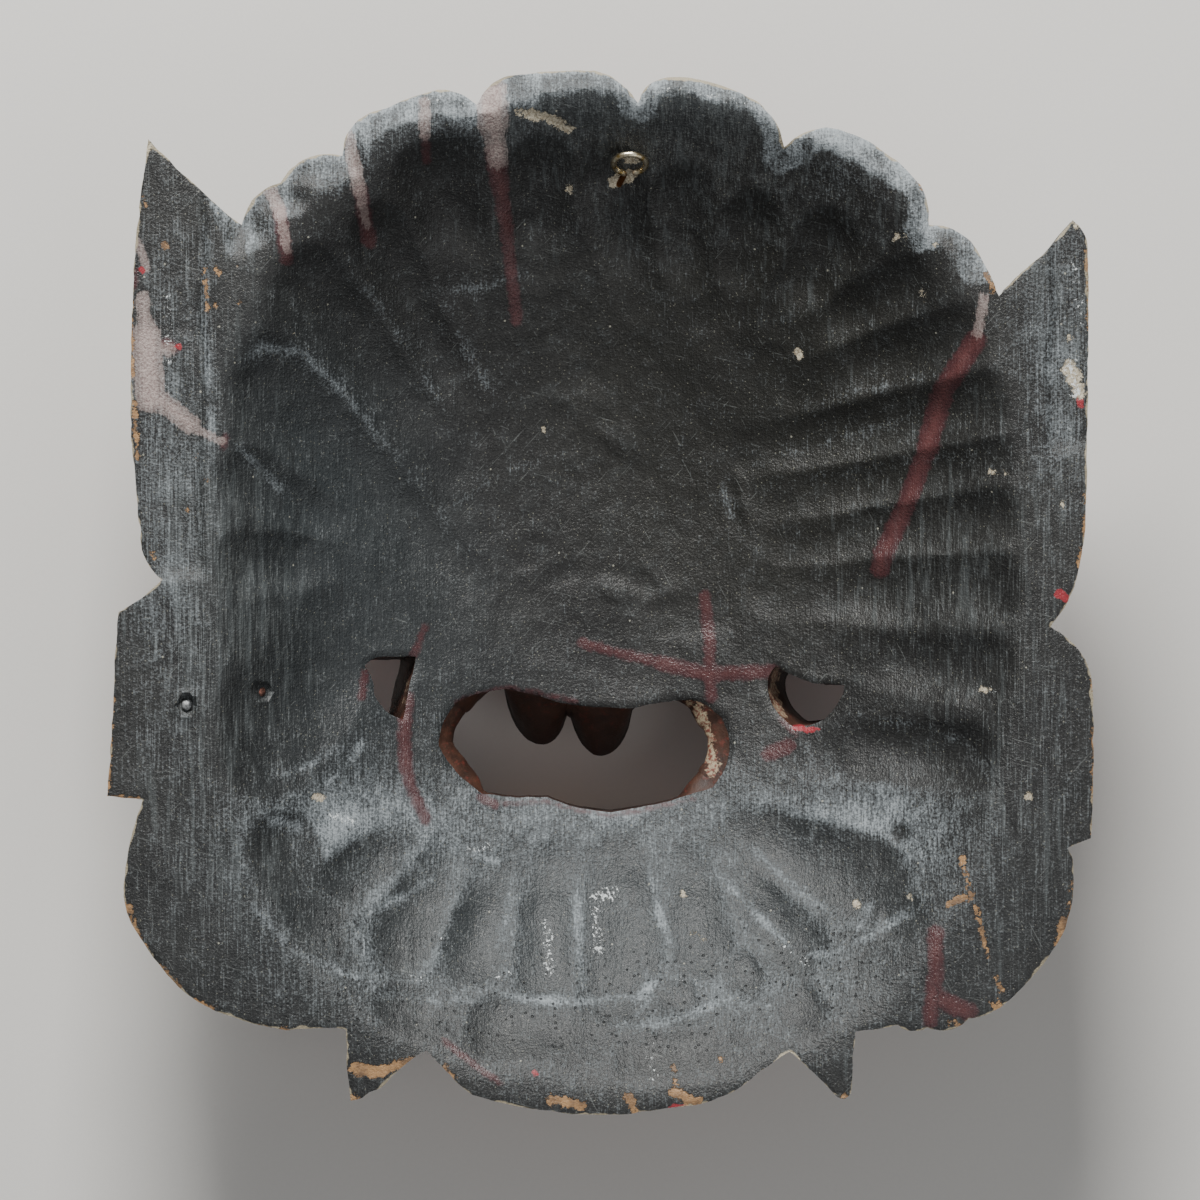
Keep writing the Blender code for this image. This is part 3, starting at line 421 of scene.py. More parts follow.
# Painted shapes of the face, as turned ovals: x, y, half width, half height and turn. Those with x
# above zero are also mirrored.
FACE_PAINT = {
    "mane": [(118, 100, 44, 60, 40), (60, 150, 60, 26, -14), (0, 160, 60, 22, 0), (150, 20, 26, 90, 0),
             (112, -100, 52, 54, 0)],
    "gilding": [(112, -96, 19, 20, 0), (0, 104, 24, 28, 0), (0, -92, 66, 17, 0), (0, -132, 32, 20, 0)],
    "white_of_eye": [(50, 30, 25, 20, 10), (-22, -46, 13, 17, 0), (0, -46, 13, 17, 0)],
    "black_line": [(51, 29, 11, 11, 0), (50, 68, 50, 17, 16), (24, -12, 9, 7, 0)],
}

# Lumps and dips left on the hollow side: x, y, half width, half height, turn and rise.
LUMPS = [
    (-4, 63, 13, 7, -38, 1.5), (7, 52, 9, 5, -40, 1.6), (-8, 72, 8, 5, 15, -1.1),
    (2, 58, 6, 3, -35, -1.3), (-26, 3, 11, 4, 25, 1.3), (-14, 6, 8, 4, 20, -1.3),
    (-33, 1, 9, 4, 5, -1.1), (5, 1, 8, 4, -25, 1.5), (13, 4, 8, 3, -30, -1.2),
    (-2, -5, 11, 9, 0, 1.1), (44, 32, 2.6, 13, 12, -1.1), (48, 33, 2.6, 10, 12, 0.9),
    (30, -8, 15, 7, 5, -1.5), (-11, 36, 3, 8, 5, -1.0), (-20, 24, 22, 3, 28, 0.6),
    (55, 136, 4, 3, 0, 1.3), (45, 131, 3, 3, 0, 0.9), (-105, 105, 4, 3, 0, 1.1),
    (-27, 88, 16, 2, 15, 0.5), (100, 119, 3, 3, 0, 0.8), (-133, 92, 6, 10, 0, -0.9),
    (-138, 78, 4, 9, 10, 0.8), (-134, 112, 3, 7, 0, -0.8),
]


def arc_loop(corners, step):
    """A closed loop of points through the corners, about one step apart along circular arcs.

    Between two corners a chord apart, an arc that bows out by b turns through half = 2 atan(2b /
    chord) either side of its middle, on a radius of chord / (2 sin half).
    """
    loop = []
    for index, corner in enumerate(corners):
        start = np.array(corner[:2])
        chord = np.array(corners[(index + 1) % len(corners)][:2]) - start
        length = math.hypot(*chord)
        outward = np.array([-chord[1], chord[0]]) / length
        half = 2.0 * math.atan(2.0 * corner[2] / length)
        share = np.arange(max(1, round(length / step))) / max(1, round(length / step))
        along, bow = share, np.zeros(len(share))
        if abs(half) > 1e-6:
            radius = length / (2.0 * math.sin(half))
            turn = (2.0 * share - 1.0) * half
            along = 0.5 + radius * np.sin(turn) / length
            bow = radius * (np.cos(turn) - math.cos(half))
        loop.append(start + along[:, None] * chord + bow[:, None] * outward)
    return np.vstack(loop)


def distance_to_path(points, path, closed=False):
    """Distance from each point to the nearest side of a path, and how far along the path that is."""
    starts = path if closed else path[:-1]
    sides = (np.roll(path, -1, axis=0) - path) if closed else path[1:] - path[:-1]
    lengths = np.maximum((sides * sides).sum(axis=1), 1e-9)
    nearest = np.empty(len(points))
    along = np.empty(len(points))
    for first in range(0, len(points), BLOCK):
        block = points[first:first + BLOCK]
        away = block[:, None, :] - starts[None, :, :]
        share = np.clip((away * sides).sum(axis=2) / lengths, 0.0, 1.0)
        gap = away - share[:, :, None] * sides
        gap = (gap * gap).sum(axis=2)
        best = gap.argmin(axis=1)
        rows = np.arange(len(block))
        nearest[first:first + BLOCK] = np.sqrt(gap[rows, best])
        along[first:first + BLOCK] = (best + share[rows, best]) / len(starts)
    return nearest, along


def inside_loop(points, loop):
    """True for each point inside a closed loop, by counting the sides that a ray to the right meets."""
    ends = np.roll(loop, -1, axis=0)
    rise = np.where(ends[:, 1] == loop[:, 1], 1e-9, ends[:, 1] - loop[:, 1])
    result = np.empty(len(points), dtype=bool)
    for first in range(0, len(points), BLOCK):
        x = points[first:first + BLOCK, 0][:, None]
        y = points[first:first + BLOCK, 1][:, None]
        spans = (loop[:, 1] > y) != (ends[:, 1] > y)
        crossing = loop[:, 0] + (y - loop[:, 1]) * (ends[:, 0] - loop[:, 0]) / rise
        result[first:first + BLOCK] = (spans & (x < crossing)).sum(axis=1) % 2 == 1
    return result


def smooth_step(value):
    """Zero below 0, one above 1 and 3t^2 - 2t^3 between them."""
    held = np.clip(value, 0.0, 1.0)
    return held * held * (3.0 - 2.0 * held)


def wander(points, size, seed):
    """Smooth random heights from -1 to 1: random values on a lattice whose cells have this size, one
    number or one each way, joined by smooth steps along x and y."""
    values = np.random.default_rng(seed).uniform(-1.0, 1.0, (LATTICE, LATTICE))
    place = points / np.asarray(size, dtype=float) + LATTICE_START
    cell = np.floor(place).astype(int)
    part = smooth_step(place - cell)
    column, row = cell[:, 0] % LATTICE, cell[:, 1] % LATTICE
    beside, above = (column + 1) % LATTICE, (row + 1) % LATTICE
    low = values[row, column] * (1.0 - part[:, 0]) + values[row, beside] * part[:, 0]
    high = values[above, column] * (1.0 - part[:, 0]) + values[above, beside] * part[:, 0]
    return low * (1.0 - part[:, 1]) + high * part[:, 1]


def oval(points, x, y, half_width, half_height, turn):
    """1 - u^2 - v^2 inside a turned oval, where u and v are the distances from its middle in half
    widths and half heights, and 0 outside it."""
    angle = math.radians(turn)
    dx, dy = points[:, 0] - x, points[:, 1] - y
    u = (dx * math.cos(angle) + dy * math.sin(angle)) / half_width
    v = (dy * math.cos(angle) - dx * math.sin(angle)) / half_height
    return np.clip(1.0 - u * u - v * v, 0.0, 1.0)


def tapered_cut(points, start, end, wide, narrow):
    """1 - (distance / half width)^2 about a line whose width tapers from one end to the other, and
    0 outside it, with the width there and how far along the line that is."""
    line = end - start
    share = np.clip(((points - start) @ line) / max(line @ line, 1e-9), 0.0, 1.0)
    away = np.hypot(*(points - start - share[:, None] * line).T)
    width = wide + (narrow - wide) * share
    return np.clip(1.0 - (2.0 * away / width) ** 2, 0.0, 1.0), width, share


def hollow_reach(points):
    """Squarish oval distance from the middle of the hollow, 1 at its edge."""
    across = np.abs(points[:, 0] - HOLLOW_SHIFT) / (HOLLOW_ACROSS / 2.0)
    tall = np.abs(points[:, 1]) / (HOLLOW_TALL / 2.0)
    return (across ** HOLLOW_SQUARENESS + tall ** HOLLOW_SQUARENESS) ** (1.0 / HOLLOW_SQUARENESS)


def face_depth(points, from_edge):
    """Depth of the face below the back rim: a squarish dome, plus the raised forms joined by a
    power mean, less the sunk forms, the grooves of the mane and the rounding of the edge."""
    across = np.abs(points[:, 0]) / (FACE_ACROSS / 2.0)
    tall = np.abs(points[:, 1]) / (FACE_TALL / 2.0)
    reach = (across ** FACE_SQUARENESS + tall ** FACE_SQUARENESS) ** (1.0 / FACE_SQUARENESS)
    dome = np.clip(1.0 - reach ** FACE_CURVE, 0.0, 1.0) ** FACE_FULLNESS
    depth = EDGE_THICKNESS + FACE_RISE * dome
    raised = np.zeros(len(points))
    sunk = np.zeros(len(points))
    for x, y, half_width, half_height, turn, rise, both_sides in FORMS:
        for side in ((1.0, -1.0) if both_sides else (1.0,)):
            form = oval(points, x * side, y, half_width, half_height, turn * side)
            form = abs(rise) * form ** FORM_ROUNDNESS
            if rise > 0.0:
                raised += form ** FORM_BLEND
            else:
                sunk = np.maximum(sunk, form)
    depth += raised ** (1.0 / FORM_BLEND) - sunk
    for x0, y0, x1, y1 in LOCK_GROOVES:
        groove, _, _ = tapered_cut(points, np.array([x0, y0]), np.array([x1, y1]),
                                   LOCK_GROOVE_WIDTH, LOCK_GROOVE_WIDTH)
        depth -= LOCK_GROOVE_DEPTH * groove
    depth -= EDGE_ROUND * np.clip(1.0 - from_edge / EDGE_ROUND, 0.0, 1.0) ** 2
    return np.clip(depth, EDGE_THICKNESS / 2.0, RIM_HEIGHT)


def gouge_depth(points):
    """Depth of the gouge cuts below the bowl. Each is a trough (1 - t^2)^1.3 whose depth is a set
    share of its own width, up to the widest one, and falls to less than a third towards its inner
    end. They join by a power mean, which leaves a slightly worn crest between two of them. Low in
    the bowl all are shallower."""
    cut = np.zeros(len(points))
    for x0, y0, x1, y1, wide, narrow in GOUGES:
        trough, width, share = tapered_cut(points, np.array([x0, y0]), np.array([x1, y1]),
                                           wide * GOUGE_OVERLAP, narrow * GOUGE_OVERLAP)
        deep = trough ** GOUGE_ROUNDNESS * np.minimum(width, WIDEST_GOUGE) * GOUGE_SHARE
        cut += (deep * (1.0 - GOUGE_FADE * smooth_step((share - 0.5) / 0.5))) ** CREST_SHARPNESS
    low = smooth_step((-75.0 - points[:, 1]) / 25.0)
    return cut ** (1.0 / CREST_SHARPNESS) * (1.0 - LOW_GOUGE_FADE * low)


def carved_depth(points):
    """Depth of the bowl with its gouge cuts and lumps, but without the rim's bevel and pits.

    The bowl is 60 (1 - reach^2.4), eased into the rim as s log(1 + exp(bowl / s)). Points are
    first moved a little by smooth random amounts, so that no cut runs dead straight. The rim keeps
    faint tool marks, and two plates of it, far left and far right, are cut a little lower.
    """
    moved = points + 1.3 * np.column_stack([wander(points, 19.0, 3), wander(points, 19.0, 4)])
    reach = hollow_reach(moved)
    bowl = HOLLOW_DEPTH * np.clip(1.0 - reach ** HOLLOW_CURVE, -0.6, 1.0)
    bowl = RIM_SOFTNESS * np.log1p(np.exp(bowl / RIM_SOFTNESS))
    cut = gouge_depth(moved) * smooth_step((1.06 - reach) / 0.09)
    lumps = np.zeros(len(points))
    for x, y, half_width, half_height, turn, rise in LUMPS:
        lump = oval(moved, x, y, 1.3 * half_width, 1.3 * half_height, turn)
        lumps += 0.4 * rise * smooth_step(lump)
    within = smooth_step((1.0 - reach) / 0.1)
    rough = 0.35 * wander(points, 13.0, 5) + 0.16 * wander(points, 5.0, 6)
    rough += 0.07 * wander(points, (2.2, 7.0), 7)
    flat = 0.3 + 0.22 * wander(points, 24.0, 8) + 0.07 * wander(points, (2.6, 9.0), 9)
    plates = 1.5 * smooth_step((-131.0 - moved[:, 0]) / 3.0) * smooth_step((points[:, 1] - 2.0) / 8.0)
    plates += 1.3 * smooth_step((moved[:, 0] - 149.0) / 2.5) * smooth_step((points[:, 1] - 44.0) / 8.0)
    return bowl + cut - lumps + rough * within + (flat + plates) * (1.0 - within)


def bevel_reach(points):
    """How far in from the edge the worn bevel along the top of the rim goes: wider on the left, a
    little uneven, and nothing on the ears' tips or below the ears."""
    top = smooth_step((points[:, 1] - 78.0) / 16.0)
    top *= smooth_step((134.0 - np.abs(points[:, 0])) / 14.0)
    uneven = 1.0 + 0.35 * wander(points, 26.0, 10) + 0.15 * wander(points, 5.0, 11)
    return BEVEL_REACH * uneven * (1.1 + 0.35 * smooth_step(0.5 - points[:, 0] / 60.0)) * top


def back_depth(points, from_edge, from_holes):
    """Depth of the hollow side: the carved bowl, the worn bevel along the top of the rim, softened
    edges, the brads' pits with the wood raised round them, chips, cracks, and runs of paint that
    stand a little proud. It leaves the least wall, except in the few millimetres by the edge."""
    depth = np.clip(carved_depth(points), 0.0, None)
    depth = np.maximum(depth, BEVEL_SLOPE * np.clip(bevel_reach(points) - from_edge, 0.0, None))
    depth += 0.5 * np.clip(1.0 - from_edge / 1.5, 0.0, 1.0) ** 2
    depth += 0.8 * np.clip(1.0 - from_holes / 2.0, 0.0, 1.0) ** 2
    for spot in BRADS_AT:
        away = np.hypot(*(points - np.array(spot)).T)
        depth += BRAD_PIT_DEPTH * smooth_step((BRAD_PIT / 2.0 + 0.5 - away) / 1.3)
        depth -= 0.5 * np.exp(-((away - BRAD_PIT / 2.0 - 0.8) / 0.9) ** 2)
    depth += 0.45 * smooth_step(strokes(points, CHIPS, 0.3) / 0.8)
    depth += 0.5 * smooth_step(strokes(points, CRACKS, 0.0) / 0.5)
    depth -= 0.16 * smooth_step(strokes(points, DRIPS, 0.4) / 1.2)
    return np.clip(depth, 0.0, np.maximum(face_depth(points, from_edge) - LEAST_WALL, EDGE_ALLOWANCE))


def strokes(points, list_of_strokes, ragged):
    """How far inside the nearest stroke each point is, in millimetres: half the stroke's width,
    less the distance to its course, plus a little raggedness. Negative outside, -6 far away."""
    inside = np.full(len(points), -6.0)
    for course, width in list_of_strokes:
        path = np.array(course, dtype=float)
        low, high = path.min(axis=0) - width - 6.0, path.max(axis=0) + width + 6.0
        near = np.all((points > low) & (points < high), axis=1)
        if near.any():
            away, _ = distance_to_path(points[near], path)
            inside[near] = np.maximum(inside[near], width / 2.0 - away)
    return inside + ragged * wander(points, 1.9, 21) * (inside > -3.0)


def dust(points, from_edge):
    """How much grey dust lies at each point, from 0 to 1: in soft zones, most where no gouge has
    cut deep, in broken lines along the crests, and on the bevel along the top of the rim."""
    ridge = 1.0 - smooth_step(gouge_depth(points) / (GOUGE_SHARE * 8.5))
    amount = tint(points, DUSTY) * (0.3 + 1.0 * ridge + 0.3 * wander(points, 11.0, 24))
    for course, width, strength in CRESTS:
        path = np.array(course, dtype=float)
        low, high = path.min(axis=0) - 14.0, path.max(axis=0) + 14.0
        near = np.all((points > low) & (points < high), axis=1)
        away, along = distance_to_path(points[near], path)
        fade = smooth_step(along / 0.2) * smooth_step((1.0 - along) / 0.2) * 0.7 + 0.3
        away = away + 0.7 * wander(points[near], 5.0, 22)
        soft = 0.55 * np.exp(-(away / (0.42 * width)) ** 2) + 0.45 * np.exp(-(away / (1.4 * width)) ** 2)
        patchy = 0.85 + 0.35 * wander(points[near], 9.0, 23) + 0.15 * wander(points[near], 3.5, 25)
        patchy = np.clip(patchy, 0.1, 1.2)
        amount[near] = np.maximum(amount[near], strength * soft * fade * patchy)
    bevel = smooth_step((bevel_reach(points) - from_edge) / 1.2)
    thick = 0.24 + 0.24 * smooth_step((points[:, 0] + 60.0) / 50.0) + 0.3 * np.exp(-(from_edge / 2.2) ** 2)
    amount += bevel * (thick + 0.24 * wander(points, (3.0, 14.0), 26) + 0.16 * wander(points, 9.0, 27))
    return np.clip(amount, 0.0, 1.0)


def tint(points, places):
    """Sum of soft round patches, each x, y, half width, half height and strength."""
    total = np.zeros(len(points))
    for x, y, half_width, half_height, strength in places:
        total += strength * np.exp(-((points[:, 0] - x) / half_width) ** 2
                                   - ((points[:, 1] - y) / half_height) ** 2)
    return total


def worn_loop(corners, inward, seed):
    """A fine loop along the corners' arcs, its points moved into the wood by small random nicks."""
    loop = arc_loop(corners, BACK_STEP)
    along = np.roll(loop, -1, axis=0) - np.roll(loop, 1, axis=0)
    side = np.column_stack([along[:, 1], -along[:, 0]]) / np.hypot(*along.T)[:, None]
    nicks = 0.4 + 0.2 * wander(loop, 4.0, seed) + 0.13 * wander(loop, 1.7, seed + 1)
    nicks += 1.0 * np.clip(wander(loop, 7.0, seed + 2) - 0.45, 0.0, 1.0)
    return loop + (inward * np.clip(nicks, 0.15, 1.2))[:, None] * side


def mouth_front(loop):
    """The mouth's edge in the face: its back edge, with two teeth that hang from the upper lip."""
    front = loop.copy()
    upper = smooth_step((loop[:, 1] - loop[:, 1].mean()) / 10.0)
    for tooth in (-1.0, 0.0):
        across = (loop[:, 0] - tooth * TOOTH_WIDTH) / (TOOTH_WIDTH / 2.0)
        front[:, 1] -= TOOTH_DROP * upper * np.clip(1.0 - across ** 2, 0.0, 1.0) ** 0.6
    return front


def throat_swell(level, share):
    """How far the mouth's side walls swell into the opening part way down: a hump over the depth,
    7.5 mm at the right end and 5 mm at the left."""
    hump = math.sin(math.pi * min(share * 1.6, 1.0)) if share < 0.62 else 0.0
    right = smooth_step((level[:, 0] - 24.0) / 14.0) * 7.5
    left = smooth_step((-36.0 - level[:, 0]) / 12.0) * 5.0
    return (right + left) * hump * (np.abs(level[:, 0]) < 60.0)


def corner_front(loop):
    """A corner hole's edge in the face: smaller than in the back and slanted away outward."""
    middle = loop.mean(axis=0)
    shift = np.array([math.copysign(CORNER_HOLE_SLANT, middle[0]), 0.0])
    return middle + shift + (loop - middle) * CORNER_HOLE_TAPER


def even_points(step):
    """Points of an even triangular grid over the mask's plan."""
    rows = np.arange(-PLAN_HALF_TALL, PLAN_HALF_TALL, step * math.sqrt(0.75))
    columns = np.arange(-PLAN_HALF_WIDE, PLAN_HALF_WIDE, step)
    x, y = np.meshgrid(columns, rows)
    x = x + step / 2.0 * (np.arange(len(rows)) % 2)[:, None]
    return np.column_stack([x.ravel(), y.ravel()])


def trimmed_grid(loops, step):
    """An even grid of points joined into triangles, trimmed to lie inside the first loop and
    outside the others. The loops' own points come first."""
    fill = even_points(step)
    fill = fill[inside_loop(fill, loops[0])]
    for hole in loops[1:]:
        fill = fill[~inside_loop(fill, hole)]
    edge = np.vstack(loops)
    clear = np.ones(len(fill), dtype=bool)
    for loop in loops:
        gap, _ = distance_to_path(fill, loop, closed=True)
        clear &= gap > 0.5 * step
    fill = fill[clear]
    sides = []
    first = 0
    for loop in loops:
        index = np.arange(len(loop))
        sides += (first + np.column_stack([index, (index + 1) % len(loop)])).tolist()
        first += len(loop)
    plan = [Vector(point) for point in np.vstack([edge, fill])]
    result = geometry.delaunay_2d_cdt(plan, sides, [], 0, 1e-6)
    points = np.array([tuple(place) for place in result[0]])
    faces = np.array(result[2])
    doubtful = (faces < len(edge)).all(axis=1)
    middles = points[faces[doubtful]].mean(axis=1)
    kept = inside_loop(middles, loops[0])
    for hole in loops[1:]:
        kept &= ~inside_loop(middles, hole)
    good = ~doubtful
    good[np.flatnonzero(doubtful)[kept]] = True
    return points, faces[good]


def joined_rows(rows, flip):
    """Triangles of the bands between closed rows of points, given as lists of point numbers."""
    faces = []
    for upper, lower in zip(rows[:-1], rows[1:]):
        after_upper, after_lower = np.roll(upper, -1), np.roll(lower, -1)
        faces.append(np.column_stack([upper, after_upper, after_lower]))
        faces.append(np.column_stack([upper, after_lower, lower]))
    faces = np.vstack(faces)
    return faces[:, ::-1] if flip else faces


def closed_tube(count, sides, flip):
    """Triangles of a tube made of a count of rings of points, with a fan over each end."""
    rings = [np.arange(row * sides, (row + 1) * sides) for row in range(count)]
    faces = [joined_rows(rings, flip)]
    for ring, turned in ((rings[0], not flip), (rings[-1], flip)):
        fan = np.column_stack([np.full(sides - 2, ring[0]), ring[1:-1], ring[2:]])
        faces.append(fan[:, ::-1] if turned else fan)
    return np.vstack(faces)


def make_mesh(name, places, faces):
    """A mesh object in metres, its faces shaded smooth except over sharp edges."""
    mesh = bpy.data.meshes.new(name)
    mesh.from_pydata((places * MM).tolist(), [], faces.tolist())
    mesh.polygons.foreach_set("use_smooth", np.ones(len(mesh.polygons), dtype=bool))
    mesh.set_sharp_from_angle(angle=math.radians(CREASE_ANGLE))
    piece = bpy.data.objects.new(name, mesh)
    bpy.context.scene.collection.objects.link(piece)
    return piece


def soften_creases(mesh, first, after_last):
    """Shade smoothly over every edge with an end among the points from the first one up to, but
    without, the one after the last."""
    ends = np.empty(2 * len(mesh.edges), dtype=np.int32)
    sharp = np.empty(len(mesh.edges), dtype=bool)
    mesh.edges.foreach_get("vertices", ends)
    mesh.edges.foreach_get("use_edge_sharp", sharp)
    soft = ((ends >= first) & (ends < after_last)).reshape(-1, 2).any(axis=1)
    mesh.edges.foreach_set("use_edge_sharp", sharp & ~soft)


def give(mesh, name, values):
    """Keep one number per point on the mesh, for its materials to read."""
    layer = mesh.attributes.new(name, "FLOAT", "POINT")
    layer.data.foreach_set("value", np.asarray(values, dtype=np.float32))


def distance_to_holes(points, holes):
    """Distance to the nearest hole's edge for points within 75 mm of a hole's middle, at most 30
    mm, and 30 mm for the others."""
    nearest = np.full(len(points), 30.0)
    for hole in holes:
        near = np.abs(points - hole.mean(axis=0)).max(axis=1) < 75.0
        away, _ = distance_to_path(points[near], hole, closed=True)
        nearest[near] = np.minimum(nearest[near], away)
    return nearest


def wall_levels(upper, lower, number):
    """Loops of points down a wall, between its loop in the back and its loop in the face, each
    moved sideways by a small smooth bulge. Wall 0 is the outer edge and the others are the holes,
    the mouth first, whose sides also swell."""
    levels = []
    count = len(upper)
    rows = EDGE_ROWS if number == 0 else THROAT_ROWS
    for row in range(1, rows):
        share = row / rows
        level = upper + (lower - upper) * share
        along = np.column_stack([np.arange(count) * BACK_STEP, np.full(count, level[:, 2].mean())])
        bulge = 0.3 * wander(along, (3.0, 6.0), 80 + number) - 0.3
        if number == 1:
            bulge = bulge + throat_swell(level, share)
        out = np.roll(level, -1, axis=0) - np.roll(level, 1, axis=0)
        out = np.column_stack([-out[:, 1], out[:, 0], np.zeros(count)])
        out /= np.maximum(np.hypot(out[:, 0], out[:, 1]), 1e-6)[:, None]
        side = 1.0 if number == 0 else -1.0
        levels.append(level + out * (bulge * side)[:, None])
    return levels


def give_marks(mesh, places, edge, over):
    """Keep on the mesh what its paints read: how far inside a stroke of each kind a point is, how dusty it
    is, how warm and how deep in painted shade, how grainy and pored, how far from the edge and how deep,
    and how far inside the painted shapes of the face. Strokes and dust fade where the outer wall has turned
    over."""
    plan = places[:, :2]
    for name, marks, ragged in (("run", DRIPS, 0.25), ("blush", BLUSHES, 0.3), ("crimson", CRIMSONS, 0.5),
                                ("chip", CHIPS, 0.9), ("ochre", OCHRES, 0.8), ("white", WHITES, 0.6)):
        give(mesh, name, strokes(plan, marks, ragged) - 8.0 * over)
    give(mesh, "bare", strokes(plan, THROAT_BARE, 1.0))
    give(mesh, "crack", strokes(plan, CRACKS, 0.0))
    give(mesh, "dust", dust(plan, edge) * (1.0 - 0.75 * over))
    give(mesh, "warmth_and_painted_shade", tint(plan, WARM_AND_PAINTED_SHADE))
    give(mesh, "grainy", tint(plan, GRAINY))
    give(mesh, "pored", tint(plan, PORED))
    give(mesh, "edge", edge)
    give(mesh, "down", RIM_HEIGHT - places[:, 2])
    for name, shapes in FACE_PAINT.items():
        inside = np.full(len(places), -9.0)
        for x, y, half_width, half_height, turn in shapes:
            for side in ((1.0, -1.0) if x > 0 else (1.0,)):
                u = oval(plan, x * side, y, half_width, half_height, turn * side)
                inside = np.maximum(inside, (u - 0.35) * min(half_width, half_height) * 0.5)
        give(mesh, name, inside)


def carved_wood():
    """The mask's wood: the hollow side and the face as heights over a trimmed grid, joined by rows
    of points down the outer edge and down the walls of the three holes."""
    outline = worn_loop(OUTLINE, 1.0, 30)
    holes = [worn_loop(MOUTH, -1.0, 40), worn_loop(LEFT_CORNER, -1.0, 50),
             worn_loop(RIGHT_CORNER, -1.0, 60)]
    front_holes = [mouth_front(holes[0]), corner_front(holes[1]), corner_front(holes[2])]
    coarse = arc_loop(OUTLINE, COARSE_STEP)
    back, back_faces = trimmed_grid([outline] + holes, BACK_STEP)
    face, face_faces = trimmed_grid([outline] + front_holes, FACE_STEP)
    back_edge, _ = distance_to_path(back, coarse, closed=True)
    face_edge, _ = distance_to_path(face, coarse, closed=True)
    back_heights = RIM_HEIGHT - back_depth(back, back_edge, distance_to_holes(back, holes))
    chisel = 0.25 * (1.0 + wander(face, 9.0, 70)) + 0.15 * (1.0 + wander(face, (3.0, 12.0), 71))
    face_heights = RIM_HEIGHT - face_depth(face, face_edge) + chisel
    places = [np.column_stack([back, back_heights]), np.column_stack([face, face_heights])]
    faces = [back_faces, face_faces[:, ::-1] + len(back)]
    kinds = [np.zeros(len(back_faces)), np.full(len(face_faces), 2)]
    edges = [back_edge, face_edge]
    walls = len(back) + len(face)
    total = walls
    first = 0
    for number, loop in enumerate([outline] + holes):
        count = len(loop)
        upper = places[0][first:first + count]
        lower = places[1][first:first + count]
        numbers = [np.arange(first, first + count)]
        for level in wall_levels(upper, lower, number):
            places.append(level)
            edges.append(upper[:, 2] - level[:, 2])
            numbers.append(np.arange(total, total + count))
            total += count
        numbers.append(np.arange(len(back) + first, len(back) + first + count))
        band = joined_rows(numbers, number > 0)
        faces.append(band)
        kinds.append(np.full(len(band), 0 if number == 0 else 1))
        first += count
    places = np.vstack(places)
    places[:, 2] = np.clip(places[:, 2], 0.0, RIM_HEIGHT)
    piece = make_mesh("carved_wood", places, np.vstack(faces))
    piece.data.polygons.foreach_set("material_index", np.concatenate(kinds).astype(np.int32))
    soften_creases(piece.data, len(back) + first, walls)
    edge = np.concatenate(edges)
    outer = slice(walls, walls + (EDGE_ROWS - 1) * len(outline))
    over = np.zeros(total)
    over[outer] = smooth_step((edge[outer] - 1.0) / 3.5)
    give_marks(piece.data, places, edge, over)
    return piece


def swept_wire(path, across, radii):
    """A round wire carried along a path that lies in one plane, with the plane's normal across."""
    along = np.gradient(path, axis=0)
    along /= np.linalg.norm(along, axis=1)[:, None]
    side = np.cross(along, across)
    angle = np.arange(WIRE_SIDES) * 2.0 * math.pi / WIRE_SIDES
    ring = np.cos(angle)[None, :, None] * side[:, None, :] + np.sin(angle)[None, :, None] * across
    places = (path[:, None, :] + radii[:, None, None] * ring).reshape(-1, 3)
    return places, closed_tube(len(path), WIRE_SIDES, True)


def bent_wire():
    """The screw eye: a shank with a worn thread, a small bend at the neck and an almost closed ring,
    all of one wire whose free end is a little rounded. The ring turns on a circle about a point
    that stands off the wood along the slanted axis."""
    entry = np.array([*SCREW_EYE_AT, 0.0])
    entry[2] = RIM_HEIGHT - carved_depth(entry[None, :2])[0]
    lean, slant = math.radians(EYE_LEAN), math.radians(EYE_SLANT)
    sideways = np.array([1.0, 0.0, 0.0])
    upright = np.array([0.0, math.sin(lean), math.cos(lean)])
    axis = upright * math.cos(slant) + sideways * math.sin(slant)
    left = upright * math.sin(slant) - sideways * math.cos(slant)
    radius = (EYE_OUTSIDE - WIRE) / 2.0
    bend_start = EYE_STAND - math.sqrt(radius * radius + 2.0 * EYE_BEND * radius)
    join = math.asin(EYE_BEND / (EYE_BEND + radius))
    neck = np.linspace(0.0, math.pi / 2.0 - join, 10)[:-1]
    turn = np.linspace(join, 2.0 * math.pi - math.radians(EYE_GAP_ANGLE), 90)
    shank = np.linspace(-SHANK_LENGTH, 0.0, 25)[:-1]
    along = np.concatenate([shank, bend_start + EYE_BEND * np.sin(neck), EYE_STAND - radius * np.cos(turn)])
    beside = np.concatenate([shank * 0.0, EYE_BEND * (1.0 - np.cos(neck)), radius * np.sin(turn)])
    path = entry + along[:, None] * axis + beside[:, None] * left
    thickness = np.full(len(path), WIRE / 2.0 - WIRE_ALLOWANCE)
    thickness[:len(shank)] += 0.12 * np.sin(np.arange(len(shank)) * 1.9)
    thickness[-4:] *= [0.97, 0.92, 0.8, 0.55]
    places, faces = swept_wire(path, np.cross(axis, left), thickness)
    places[:, 2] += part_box("screw_eye")[1][2] / MM - places[:, 2].max()
    return make_mesh("bent_wire", places, faces)


